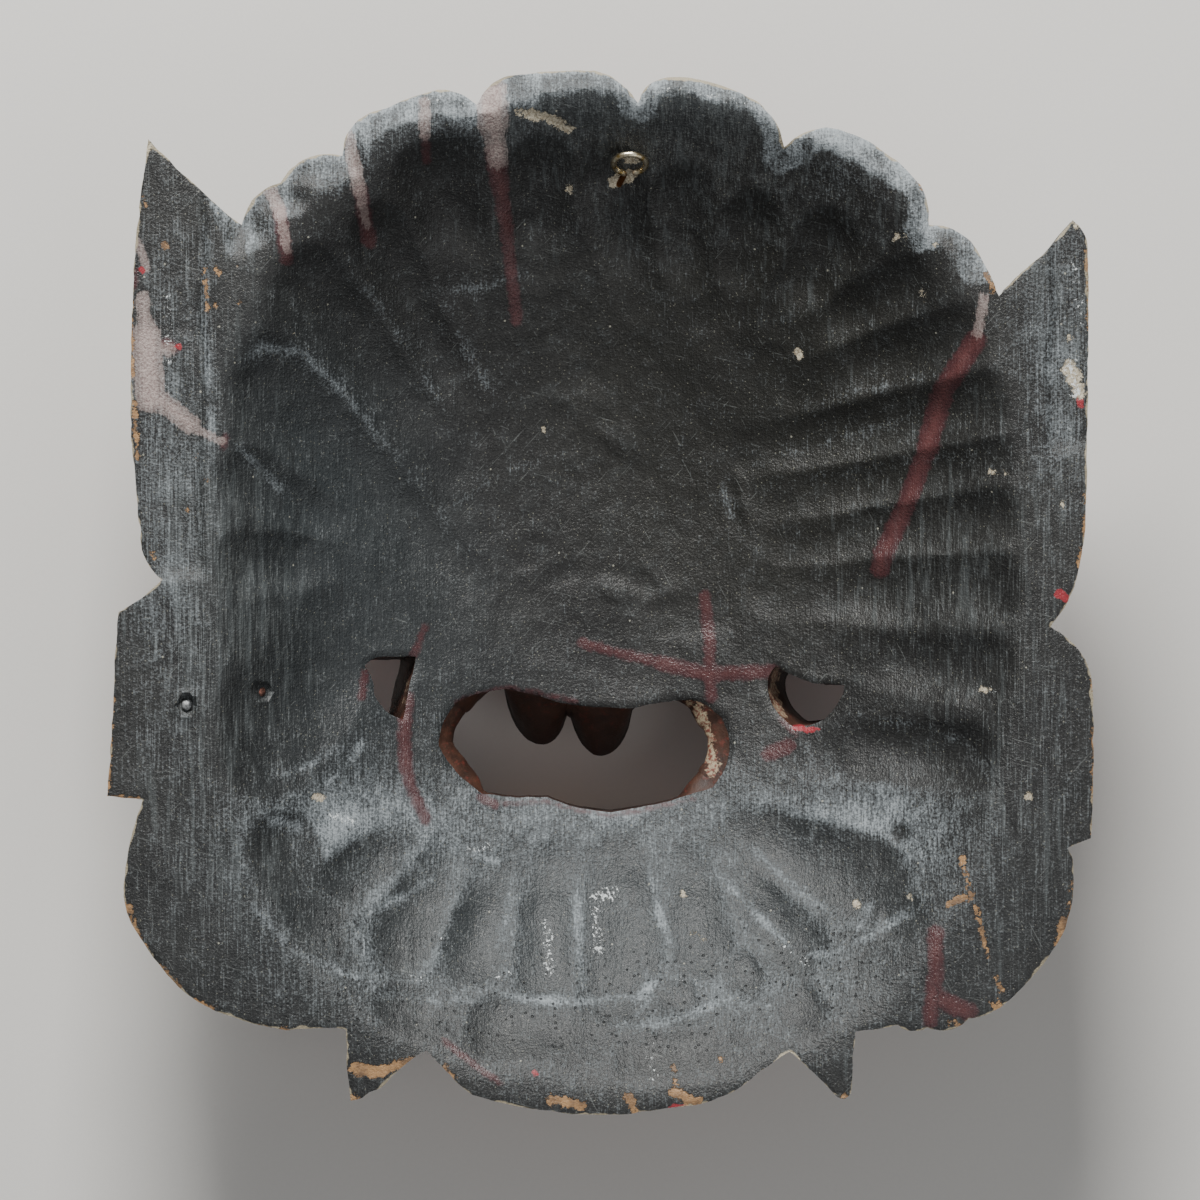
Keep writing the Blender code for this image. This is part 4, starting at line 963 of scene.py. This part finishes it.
def brad_head(spot, seed):
    """A hammered brad head: a dome profile turned about the slope of the wood, its radius a little
    uneven round the circle, with the top of its pin below it."""
    around = np.array([spot, (spot[0] + BRAD_SLOPE_SPAN, spot[1]), (spot[0], spot[1] + BRAD_SLOPE_SPAN)])
    depth = smooth_bowl(around)
    normal = np.array([*(depth[1:] - depth[0]) / BRAD_SLOPE_SPAN, 1.0])
    normal /= np.linalg.norm(normal)
    side = np.cross(normal, [0.0, 1.0, 0.0])
    side /= np.linalg.norm(side)
    other = np.cross(normal, side)
    head = BRAD_HEAD / 2.0
    profile = np.array([(-2.2, 0.4), (-2.0, 0.8), (0.0, 0.8), (0.02, 0.93 * head), (0.16, 0.99 * head),
                        (0.38, 0.97 * head), (0.62, 0.86 * head), (0.84, 0.66 * head),
                        (1.0, 0.4 * head), (1.07, 0.15 * head), (1.09, 0.01 * head)])
    angle = np.arange(BRAD_SIDES) * 2.0 * math.pi / BRAD_SIDES
    uneven = 1.0 - 0.025 * (1.0 + np.sin(3.0 * angle + seed))
    uneven -= 0.02 * (1.0 + np.sin(5.0 * angle + 2.0 * seed))
    ring = np.cos(angle)[:, None] * side + np.sin(angle)[:, None] * other
    places = profile[:, 0][:, None, None] * normal + (profile[:, 1][:, None] * uneven)[:, :, None] * ring
    return places.reshape(-1, 3), closed_tube(len(profile), BRAD_SIDES, False)


def linear(code):
    """An sRGB hex colour as linear light, with full opacity."""
    parts = [int(code[index:index + 2], 16) / 255.0 for index in (1, 3, 5)]
    light = [part / 12.92 if part <= 0.04045 else ((part + 0.055) / 1.055) ** 2.4 for part in parts]
    return (*light, 1.0)


def add_node(tree, kind, settings, inputs, output=0):
    """Add a node with its settings, set or link its inputs by name or number, and return one of
    its outputs."""
    node = tree.nodes.new("ShaderNode" + kind)
    for name, value in settings.items():
        setattr(node, name, value)
    for name, value in (inputs.items() if isinstance(inputs, dict) else enumerate(inputs)):
        if isinstance(value, bpy.types.NodeSocket):
            tree.links.new(value, node.inputs[name])
        else:
            node.inputs[name].default_value = value
    return node.outputs[output]


PLUS = {"operation": "ADD"}
LESS = {"operation": "SUBTRACT"}
TIMES = {"operation": "MULTIPLY"}
TIMES_PLUS = {"operation": "MULTIPLY_ADD"}
LARGER = {"operation": "MAXIMUM"}


def new_material(name, roughness, metallic=0.0, ior=1.5):
    """A material with its shader's plain values set, and its node tree."""
    material = bpy.data.materials.new(name)
    material.use_nodes = True
    shader = material.node_tree.nodes["Principled BSDF"]
    shader.inputs["Roughness"].default_value = roughness
    shader.inputs["Metallic"].default_value = metallic
    shader.inputs["IOR"].default_value = ior
    return material, material.node_tree


def wire_up(material, colour, roughness, relief, depth):
    """Link the colour, the roughness and a relief of a depth in millimetres to the shader."""
    tree = material.node_tree
    shader = tree.nodes["Principled BSDF"]
    tree.links.new(colour, shader.inputs["Base Color"])
    if roughness is not None:
        tree.links.new(roughness, shader.inputs["Roughness"])
    bump = add_node(tree, "Bump", {}, {"Strength": 1.0, "Distance": depth * MM, "Height": relief})
    tree.links.new(bump, shader.inputs["Normal"])
    return material


def grain(tree, size, stretch=(1.0, 1.0, 1.0), turn=0.0, shift=0.0, detail=3.0, rough=0.6):
    """Noise of a size in millimetres, about 0.5, stretched along axes that are turned about z."""
    place = add_node(tree, "TexCoord", {}, {}, "Object")
    spread = add_node(tree, "Mapping", {"vector_type": "TEXTURE"}, {
        "Vector": place, "Location": (shift * MM,) * 3, "Rotation": (0.0, 0.0, math.radians(turn)),
        "Scale": tuple(size * MM * part for part in stretch)})
    return add_node(tree, "TexNoise", {}, {
        "Vector": spread, "Scale": 1.0, "Detail": detail, "Roughness": rough})


def dots(tree, spacing, radius, share, shift=0.0):
    """Scattered dots of a radius in millimetres, a spacing apart, in a given share of the places."""
    place = add_node(tree, "TexCoord", {}, {}, "Object")
    spread = add_node(tree, "Mapping", {"vector_type": "TEXTURE"}, {
        "Vector": place, "Location": (shift * MM, shift * MM, 0.0), "Scale": (spacing * MM,) * 3})
    gap = add_node(tree, "TexVoronoi", {}, {"Vector": spread, "Scale": 1.0}, "Distance")
    chosen = add_node(tree, "SeparateColor", {}, [gap.node.outputs["Color"]])
    near = add_node(tree, "MapRange", {}, {
        "Value": gap, "From Min": 1.25 * radius / spacing, "From Max": 0.7 * radius / spacing})
    some = add_node(tree, "Math", {"operation": "GREATER_THAN"}, [chosen, 1.0 - share])
    return add_node(tree, "Math", TIMES, [near, some])


def paint_over(tree, below, above, amount, low, high, strength=1.0):
    """Lay a colour over another where an amount runs from low to high, at most to a strength."""
    share = add_node(tree, "MapRange", {}, {
        "Value": amount, "From Min": low, "From Max": high, "To Min": 0.0, "To Max": strength})
    above = linear(above) if isinstance(above, str) else above
    return add_node(tree, "Mix", {"data_type": "RGBA"}, {0: share, 6: below, 7: above}, 2)


def black_ground(tree, kept, noise):
    """Near-black paint, cloudy and gritty, warmer or bluer by zones and darkened by a painted shade in the
    warmest of them, with the grain of the wood in fine upright lines and hair-thin scratches in three
    directions."""
    colour = paint_over(tree, linear("#191919"), "#262625", noise["cloud"], 0.35, 0.65)
    # The last entry is painted shade: it darkens the warmest zones.
    for code, amount, low, high, strength in [
            ("#201f1a", kept["warmth_and_painted_shade"], 0.0, 1.0, 1.0), ("#343a3d", kept["warmth_and_painted_shade"], 0.0, -1.0, 1.0),
            ("#434646", noise["mottle"], 0.5, 0.75, 0.4), ("#626461", noise["grit"], 0.56, 0.74, 0.34),
            ("#121212", noise["grit"], 0.44, 0.3, 0.5), ("#151512", kept["warmth_and_painted_shade"], 0.5, 1.0, 0.6)]:
        colour = paint_over(tree, colour, code, amount, low, high, strength)
    lines = add_node(tree, "Math", TIMES_PLUS, [kept["grainy"], 0.14, noise["fibres"]])
    colour = paint_over(tree, colour, "#6f7372", lines, 0.62, 0.8, 0.36)
    streaks = add_node(tree, "Math", TIMES_PLUS, [kept["grainy"], 0.12, noise["bands"]])
    colour = paint_over(tree, colour, "#646a6b", streaks, 0.6, 0.8, 0.36)
    colour = paint_over(tree, colour, "#161616", noise["bands"], 0.42, 0.3, 0.4)
    for turn, shift in ((28.0, 50.0), (-42.0, 63.0), (75.0, 71.0)):
        scratches = grain(tree, 0.5, stretch=(1.0, 36.0, 4.0), turn=turn, shift=shift, detail=1.0)
        colour = paint_over(tree, colour, "#808482", scratches, 0.71, 0.79, 0.32)
    return colour


def dusted(tree, colour, kept, noise):
    """The colour under grey dust and pale specks, and how much dust there is. It holds on the grit
    and along the fibres, and lies thicker in drifts."""
    powder = add_node(tree, "Math", TIMES_PLUS, [noise["mottle"], 0.6, kept["dust"]])
    powder = add_node(tree, "Math", TIMES_PLUS, [noise["grit"], 1.5, powder])
    powder = add_node(tree, "Math", TIMES_PLUS, [noise["fibres"], 1.0, powder])
    colour = paint_over(tree, colour, "#7f868a", powder, 1.76, 2.44, 0.82)
    colour = paint_over(tree, colour, "#a9b0b4", powder, 2.12, 2.85, 0.8)
    specks = grain(tree, 1.7, stretch=(1.0, 1.8, 1.0), turn=-12.0, shift=83.0, detail=5.0, rough=0.8)
    specks = add_node(tree, "Math", TIMES_PLUS, [kept["dust"], 0.07, specks])
    colour = paint_over(tree, colour, "#c3c7c4", specks, 0.76, 0.8, 0.85)
    colour = paint_over(tree, colour, "#8b8a7c", dots(tree, 1.5, 0.2, 0.4), 0.0, 1.0, 0.6)
    colour = paint_over(tree, colour, "#a9a799", dots(tree, 6.0, 0.36, 0.3, shift=5.0), 0.0, 1.0, 0.75)
    return colour, powder


def streaked(tree, colour, kept, noise):
    """The colour under ragged runs of maroon, the pale blushes of the same paint and spots of
    bright red, and how thick the runs are."""
    wobble = add_node(tree, "Math", TIMES_PLUS, [grain(tree, 2.3, shift=17.0), 2.4, -1.2])
    run = add_node(tree, "Math", PLUS, [kept["run"], wobble])
    run = add_node(tree, "Math", TIMES_PLUS, [noise["grit"], 1.6, run])
    colour = paint_over(tree, colour, "#482629", run, 0.3, 1.4, 0.72)
    run = add_node(tree, "Math", TIMES_PLUS, [noise["mottle"], 5.0, run])
    colour = paint_over(tree, colour, "#693f3d", run, 3.8, 7.0, 0.45)
    blush = add_node(tree, "Math", PLUS, [kept["blush"], wobble])
    blush = add_node(tree, "Math", TIMES_PLUS, [noise["fibres"], 2.4, blush])
    pink = paint_over(tree, linear("#857370"), "#ab9d97", noise["grit"], 0.35, 0.6)
    colour = paint_over(tree, colour, pink, blush, 0.9, 1.6, 0.52)
    colour = paint_over(tree, colour, pink, blush, 2.4, 4.4, 0.85)
    crimson = add_node(tree, "Math", PLUS, [kept["crimson"], wobble])
    colour = paint_over(tree, colour, "#8e2a31", crimson, -0.1, 0.3)
    return colour, run


def worn_through(tree, colour, kept, noise):
    """The colour with cracks, a rubbed edge, wear down to ochre wood, chips down to a cream ground
    and caked white flecks, and where the wood or its ground is bare."""
    flakes = add_node(tree, "Math", TIMES_PLUS, [grain(tree, 1.4, shift=23.0, rough=0.7), 4.4, -2.3])
    flecks = grain(tree, 1.0, stretch=(1.0, 1.4, 1.0), turn=20.0, shift=37.0, detail=5.0, rough=0.7)
    flecks = add_node(tree, "Math", TIMES_PLUS, [flecks, 19.0, -12.4])
    colour = paint_over(tree, colour, "#0b0b0c", kept["crack"], -0.35, 0.1, 0.85)
    # The very edge of the rim is rubbed, in short lengths, to pale grey wood.
    rubbed = add_node(tree, "Math", TIMES_PLUS, [grain(tree, 9.0, shift=41.0), 5.2, -1.9])
    rubbed = add_node(tree, "Math", LESS, [rubbed, kept["edge"]])
    colour = paint_over(tree, colour, "#a39880", rubbed, 0.0, 0.4, 0.8)
    ochre = add_node(tree, "Math", PLUS, [kept["ochre"], flakes])
    tawny = paint_over(tree, linear("#a9835a"), "#6f553c", noise["mottle"], 0.42, 0.6)
    colour = paint_over(tree, colour, tawny, ochre, -0.15, 0.3, 0.9)
    chip = add_node(tree, "Math", PLUS, [kept["chip"], flakes])
    cream = paint_over(tree, linear("#c4bba6"), "#948873", noise["grit"], 0.4, 0.6)
    colour = paint_over(tree, colour, cream, chip, -0.15, 0.2, 0.92)
    white = add_node(tree, "Math", PLUS, [kept["white"], flecks])
    colour = paint_over(tree, colour, "#d3d8d8", white, -0.2, 0.5)
    bare = add_node(tree, "MapRange", {}, {
        "Value": add_node(tree, "Math", LARGER, [chip, ochre]), "From Min": -0.15, "From Max": 0.2})
    return colour, bare


def black_paint():
    """Brushed black distemper, worn and dusty, over carved softwood: dry and dull, gritty, with the
    grain of the wood standing in fine upright lines, hair-thin scratches, pale dust, runs of maroon
    paint, and chips that show a cream ground or ochre wood."""
    material, tree = new_material("black distemper on carved wood", 0.55)
    kept = {name: add_node(tree, "Attribute", {"attribute_name": name}, {}, "Fac")
            for name in ("run", "blush", "crimson", "chip", "ochre", "white", "crack", "dust",
                         "warmth_and_painted_shade", "grainy", "pored", "edge")}
    # The wood's fibres stand 0.5 mm apart and run up and down the mask for about 14 mm.
    noise = {
        "cloud": grain(tree, 34.0, detail=4.0),
        "mottle": grain(tree, 6.5, shift=31.0, detail=4.0, rough=0.65),
        "grit": grain(tree, 0.85, shift=7.0, detail=2.0, rough=0.7),
        "fibres": grain(tree, 0.5, stretch=(1.0, 28.0, 4.0), shift=3.0, detail=2.0),
        "bands": grain(tree, 2.2, stretch=(1.0, 14.0, 3.0), shift=13.0, detail=3.0),
    }
    colour = black_ground(tree, kept, noise)
    colour, powder = dusted(tree, colour, kept, noise)
    pores = add_node(tree, "Math", TIMES, [dots(tree, 2.4, 0.46, 0.6, shift=2.0), kept["pored"]])
    colour = paint_over(tree, colour, "#0d0e10", pores, 0.0, 0.7, 0.85)
    colour, run = streaked(tree, colour, kept, noise)
    colour, bare = worn_through(tree, colour, kept, noise)
    rough = add_node(tree, "MapRange", {}, {
        "Value": powder, "From Min": 1.65, "From Max": 2.5, "To Min": 0.46, "To Max": 0.85})
    shine = add_node(tree, "MapRange", {}, {
        "Value": run, "From Min": 2.9, "From Max": 4.0, "To Min": 0.0, "To Max": -0.14})
    rough = add_node(tree, "Math", PLUS, [rough, shine])
    relief = noise["grit"]
    for pattern, share in ((noise["fibres"], 0.45), (noise["bands"], 0.6), (noise["mottle"], 1.4),
                           (bare, -0.7), (pores, -0.9)):
        relief = add_node(tree, "Math", TIMES_PLUS, [pattern, share, relief])
    return wire_up(material, colour, rough, relief, 0.34)


def throat_paint():
    """Brown-red paint rubbed thin inside the mouth and the two small holes, with a painted shade that
    darkens it with depth, bare cream patches and a few bright red ones."""
    material, tree = new_material("thin brown paint and painted shade in the mouth", 0.6)
    kept = {name: add_node(tree, "Attribute", {"attribute_name": name}, {}, "Fac")
            for name in ("bare", "crimson", "down")}
    mottle = grain(tree, 6.0, detail=4.0)
    grit = grain(tree, 1.1, shift=5.0)
    streaks = grain(tree, 2.2, stretch=(1.0, 1.0, 4.0), shift=9.0)
    colour = paint_over(tree, linear("#2b1911"), "#46291b", mottle, 0.35, 0.65)
    colour = paint_over(tree, colour, "#6a2b22", streaks, 0.55, 0.7, 0.5)
    # Painted shade: the paint goes nearly black from 54 to 76 mm below the rim, deep in the mouth and
    # holes.
    colour = paint_over(tree, colour, "#1c100b", kept["down"], 54.0, 76.0)
    flakes = grain(tree, 2.8, shift=60.0, detail=5.0, rough=0.75)
    flakes = add_node(tree, "Math", TIMES_PLUS, [flakes, 11.0, -6.4])
    patch = add_node(tree, "Math", PLUS, [kept["bare"], flakes])
    cream = paint_over(tree, linear("#9d9078"), "#6a3a2f", grit, 0.42, 0.6)
    colour = paint_over(tree, colour, cream, patch, -0.2, 0.3)
    colour = paint_over(tree, colour, "#8e2a31", kept["crimson"], -0.3, 0.2)
    rough = add_node(tree, "Math", TIMES_PLUS, [mottle, 0.3, 0.45])
    relief = add_node(tree, "Math", TIMES_PLUS, [mottle, 1.6, grit])
    return wire_up(material, colour, rough, relief, 0.16)


def face_lacquer():
    """Old red lacquer on the face, with black brows and mane, cream eyes and teeth and rubbed gold
    on forehead, lips, chin and jowls. It is hand brushed, softly glossy, chipped, and worn at its edge."""
    material, tree = new_material("old red lacquer", 0.35)
    cloud = grain(tree, 28.0, detail=4.0)
    mottle = grain(tree, 5.0, shift=11.0, detail=4.0, rough=0.65)
    grit = grain(tree, 1.0, shift=3.0)
    colour = paint_over(tree, linear("#7e2a22"), "#5c1f1b", cloud, 0.35, 0.65)
    colour = paint_over(tree, colour, "#96402f", mottle, 0.5, 0.7, 0.5)
    for name, code in (("mane", "#262422"), ("gilding", "#9a7436"), ("white_of_eye", "#c6b796"),
                       ("black_line", "#1c1a19")):
        shape = add_node(tree, "Attribute", {"attribute_name": name}, {}, "Fac")
        shape = add_node(tree, "Math", TIMES_PLUS, [mottle, 0.8, shape])
        colour = paint_over(tree, colour, code, shape, 0.2, 0.6)
    edge = add_node(tree, "Attribute", {"attribute_name": "edge"}, {}, "Fac")
    worn = add_node(tree, "Math", TIMES_PLUS, [grain(tree, 7.0, shift=41.0), 6.0, -2.6])
    worn = add_node(tree, "Math", LESS, [worn, edge])
    colour = paint_over(tree, colour, "#8f7f63", worn, -0.3, 0.4)
    chips = grain(tree, 13.0, shift=77.0, detail=4.0, rough=0.7)
    chips = add_node(tree, "Math", TIMES_PLUS, [grit, 0.25, chips])
    colour = paint_over(tree, colour, "#b7a688", chips, 0.76, 0.78)
    colour = paint_over(tree, colour, "#2b1c17", grain(tree, 18.0, shift=90.0), 0.52, 0.7, 0.5)
    rough = add_node(tree, "Math", TIMES_PLUS, [mottle, 0.4, 0.2])
    relief = add_node(tree, "Math", TIMES_PLUS, [mottle, 0.8, grit])
    return wire_up(material, colour, rough, relief, 0.3)


def nickelled_brass():
    """Thin bright nickel on brass wire, rubbed through to yellow on the ring and rusty brown near
    the wood, where damp has sat."""
    material, tree = new_material("worn nickel on brass wire", 0.28, metallic=1.0)
    grit = grain(tree, 0.5)
    patch = grain(tree, 2.6, shift=4.0)
    colour = paint_over(tree, linear("#e6dcc2"), "#a88d56", patch, 0.44, 0.64)
    place = add_node(tree, "TexCoord", {}, {}, "Object")
    height = add_node(tree, "SeparateXYZ", {}, [place], "Z")
    damp = add_node(tree, "Math", TIMES_PLUS, [patch, 2.0 * MM, height])
    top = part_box("screw_eye")[1][2]
    dry, wet = top - 7.6 * MM, top - 9.4 * MM
    colour = paint_over(tree, colour, "#6b4427", damp, dry, wet)
    rough = add_node(tree, "MapRange", {}, {
        "Value": damp, "From Min": dry, "From Max": wet, "To Min": 0.3, "To Max": 0.7})
    return wire_up(material, colour, rough, add_node(tree, "Math", PLUS, [grit, patch]), 0.06)


def painted_iron(name, paint, bright):
    """A small iron nail head, brushed over and rubbed bright in patches: dull with a soft glint."""
    material, tree = new_material(name, 0.5, metallic=0.6)
    grit = grain(tree, 0.6)
    patch = grain(tree, 2.0, shift=6.0)
    colour = paint_over(tree, linear(paint), bright, patch, 0.4, 0.58)
    rough = add_node(tree, "Math", TIMES_PLUS, [grit, 0.4, 0.3])
    return wire_up(material, colour, rough, add_node(tree, "Math", PLUS, [grit, patch]), 0.08)


def studio_paper():
    """Plain pale seamless paper: matt, with the faintest even tooth."""
    material, tree = new_material("pale studio paper", 0.9)
    tooth = grain(tree, 1.5, detail=2.0, rough=0.5)
    colour = paint_over(tree, linear("#d9d7d3"), "#dddbd7", tooth, 0.0, 1.0)
    return wire_up(material, colour, None, tooth, 0.02)


def smooth_bowl(points):
    """Depth of the bowl alone, without its gouge cuts: the brads lean with its slope."""
    reach = np.clip(hollow_reach(points), 0.0, 1.0)
    return HOLLOW_DEPTH * (1.0 - reach ** HOLLOW_CURVE)


def stand_for(piece, node, slot, *materials):
    """Let the piece ride on the mask's body, replace its CAD node and take its finish."""
    for material in materials:
        piece.data.materials.append(material)
    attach(piece, "root")
    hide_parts(node)


wood = carved_wood()
stand_for(wood, "mask", "painted_wood", black_paint(), throat_paint(), face_lacquer())
eye = bent_wire()
stand_for(eye, "screw_eye", "screw_eye_metal", nickelled_brass())

for number, (paint, bright) in enumerate([("#4a4c4e", "#a3a5a6"), ("#5a4038", "#9a6a5c")], start=1):
    node = "brad_%d" % number
    spot = BRADS_AT[number - 1]
    places, faces = brad_head(spot, float(number))
    places[:, 2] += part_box(node)[1][2] / MM - places[:, 2].max()
    places[:, :2] += np.array(spot)
    head = make_mesh("brad_head_%d" % number, places, faces)
    stand_for(head, node, "brad_metal", painted_iron("painted iron %d" % number, paint, bright))

# Floor, camera and light. The camera looks straight down, centred as the photograph is: its frame
# is 400 mm wide at the height of the rim. The floor goes three metres each way.
FRAME_WIDTH = 400.0
FRAME_CENTRE = (-0.17, -2.67)
CAMERA_ABOVE = 2400.0
SENSOR_WIDTH = 36.0
FLOOR_HALF = 3000.0
corners = [(x * FLOOR_HALF * MM, y * FLOOR_HALF * MM, 0.0) for x, y in ((-1, -1), (1, -1), (1, 1), (-1, 1))]
floor_mesh = bpy.data.meshes.new("floor")
floor_mesh.from_pydata(corners, [], [(0, 1, 2, 3)])
floor_mesh.materials.append(studio_paper())
floor = bpy.data.objects.new("floor", floor_mesh)
bpy.context.scene.collection.objects.link(floor)

lens = bpy.data.cameras.new("camera")
lens.sensor_width = SENSOR_WIDTH
lens.lens = SENSOR_WIDTH * CAMERA_ABOVE / FRAME_WIDTH
lens.clip_end = 50.0
camera = bpy.data.objects.new("camera", lens)
camera.location = (FRAME_CENTRE[0] * MM, FRAME_CENTRE[1] * MM, (RIM_HEIGHT + CAMERA_ABOVE) * MM)
bpy.context.scene.collection.objects.link(camera)
bpy.context.scene.camera = camera


def soft_light(name, place, size, power, colour):
    """A square studio lamp that faces the middle of the mask."""
    lamp = bpy.data.lights.new(name, "AREA")
    lamp.size = size
    lamp.energy = power
    lamp.color = linear(colour)[:3]
    thing = bpy.data.objects.new(name, lamp)
    thing.location = place
    thing.rotation_euler = Vector(place).to_track_quat("Z", "Y").to_euler()
    bpy.context.scene.collection.objects.link(thing)


soft_light("key", (-0.2, 1.5, 1.15), 0.7, 68.0, "#fffefb")
soft_light("fill", (0.9, -0.9, 1.8), 1.4, 8.0, "#ffffff")
world = bpy.data.worlds.new("studio")
world.use_nodes = True
world.node_tree.nodes["Background"].inputs["Color"].default_value = linear("#e6e8ea")
world.node_tree.nodes["Background"].inputs["Strength"].default_value = 0.3
bpy.context.scene.world = world
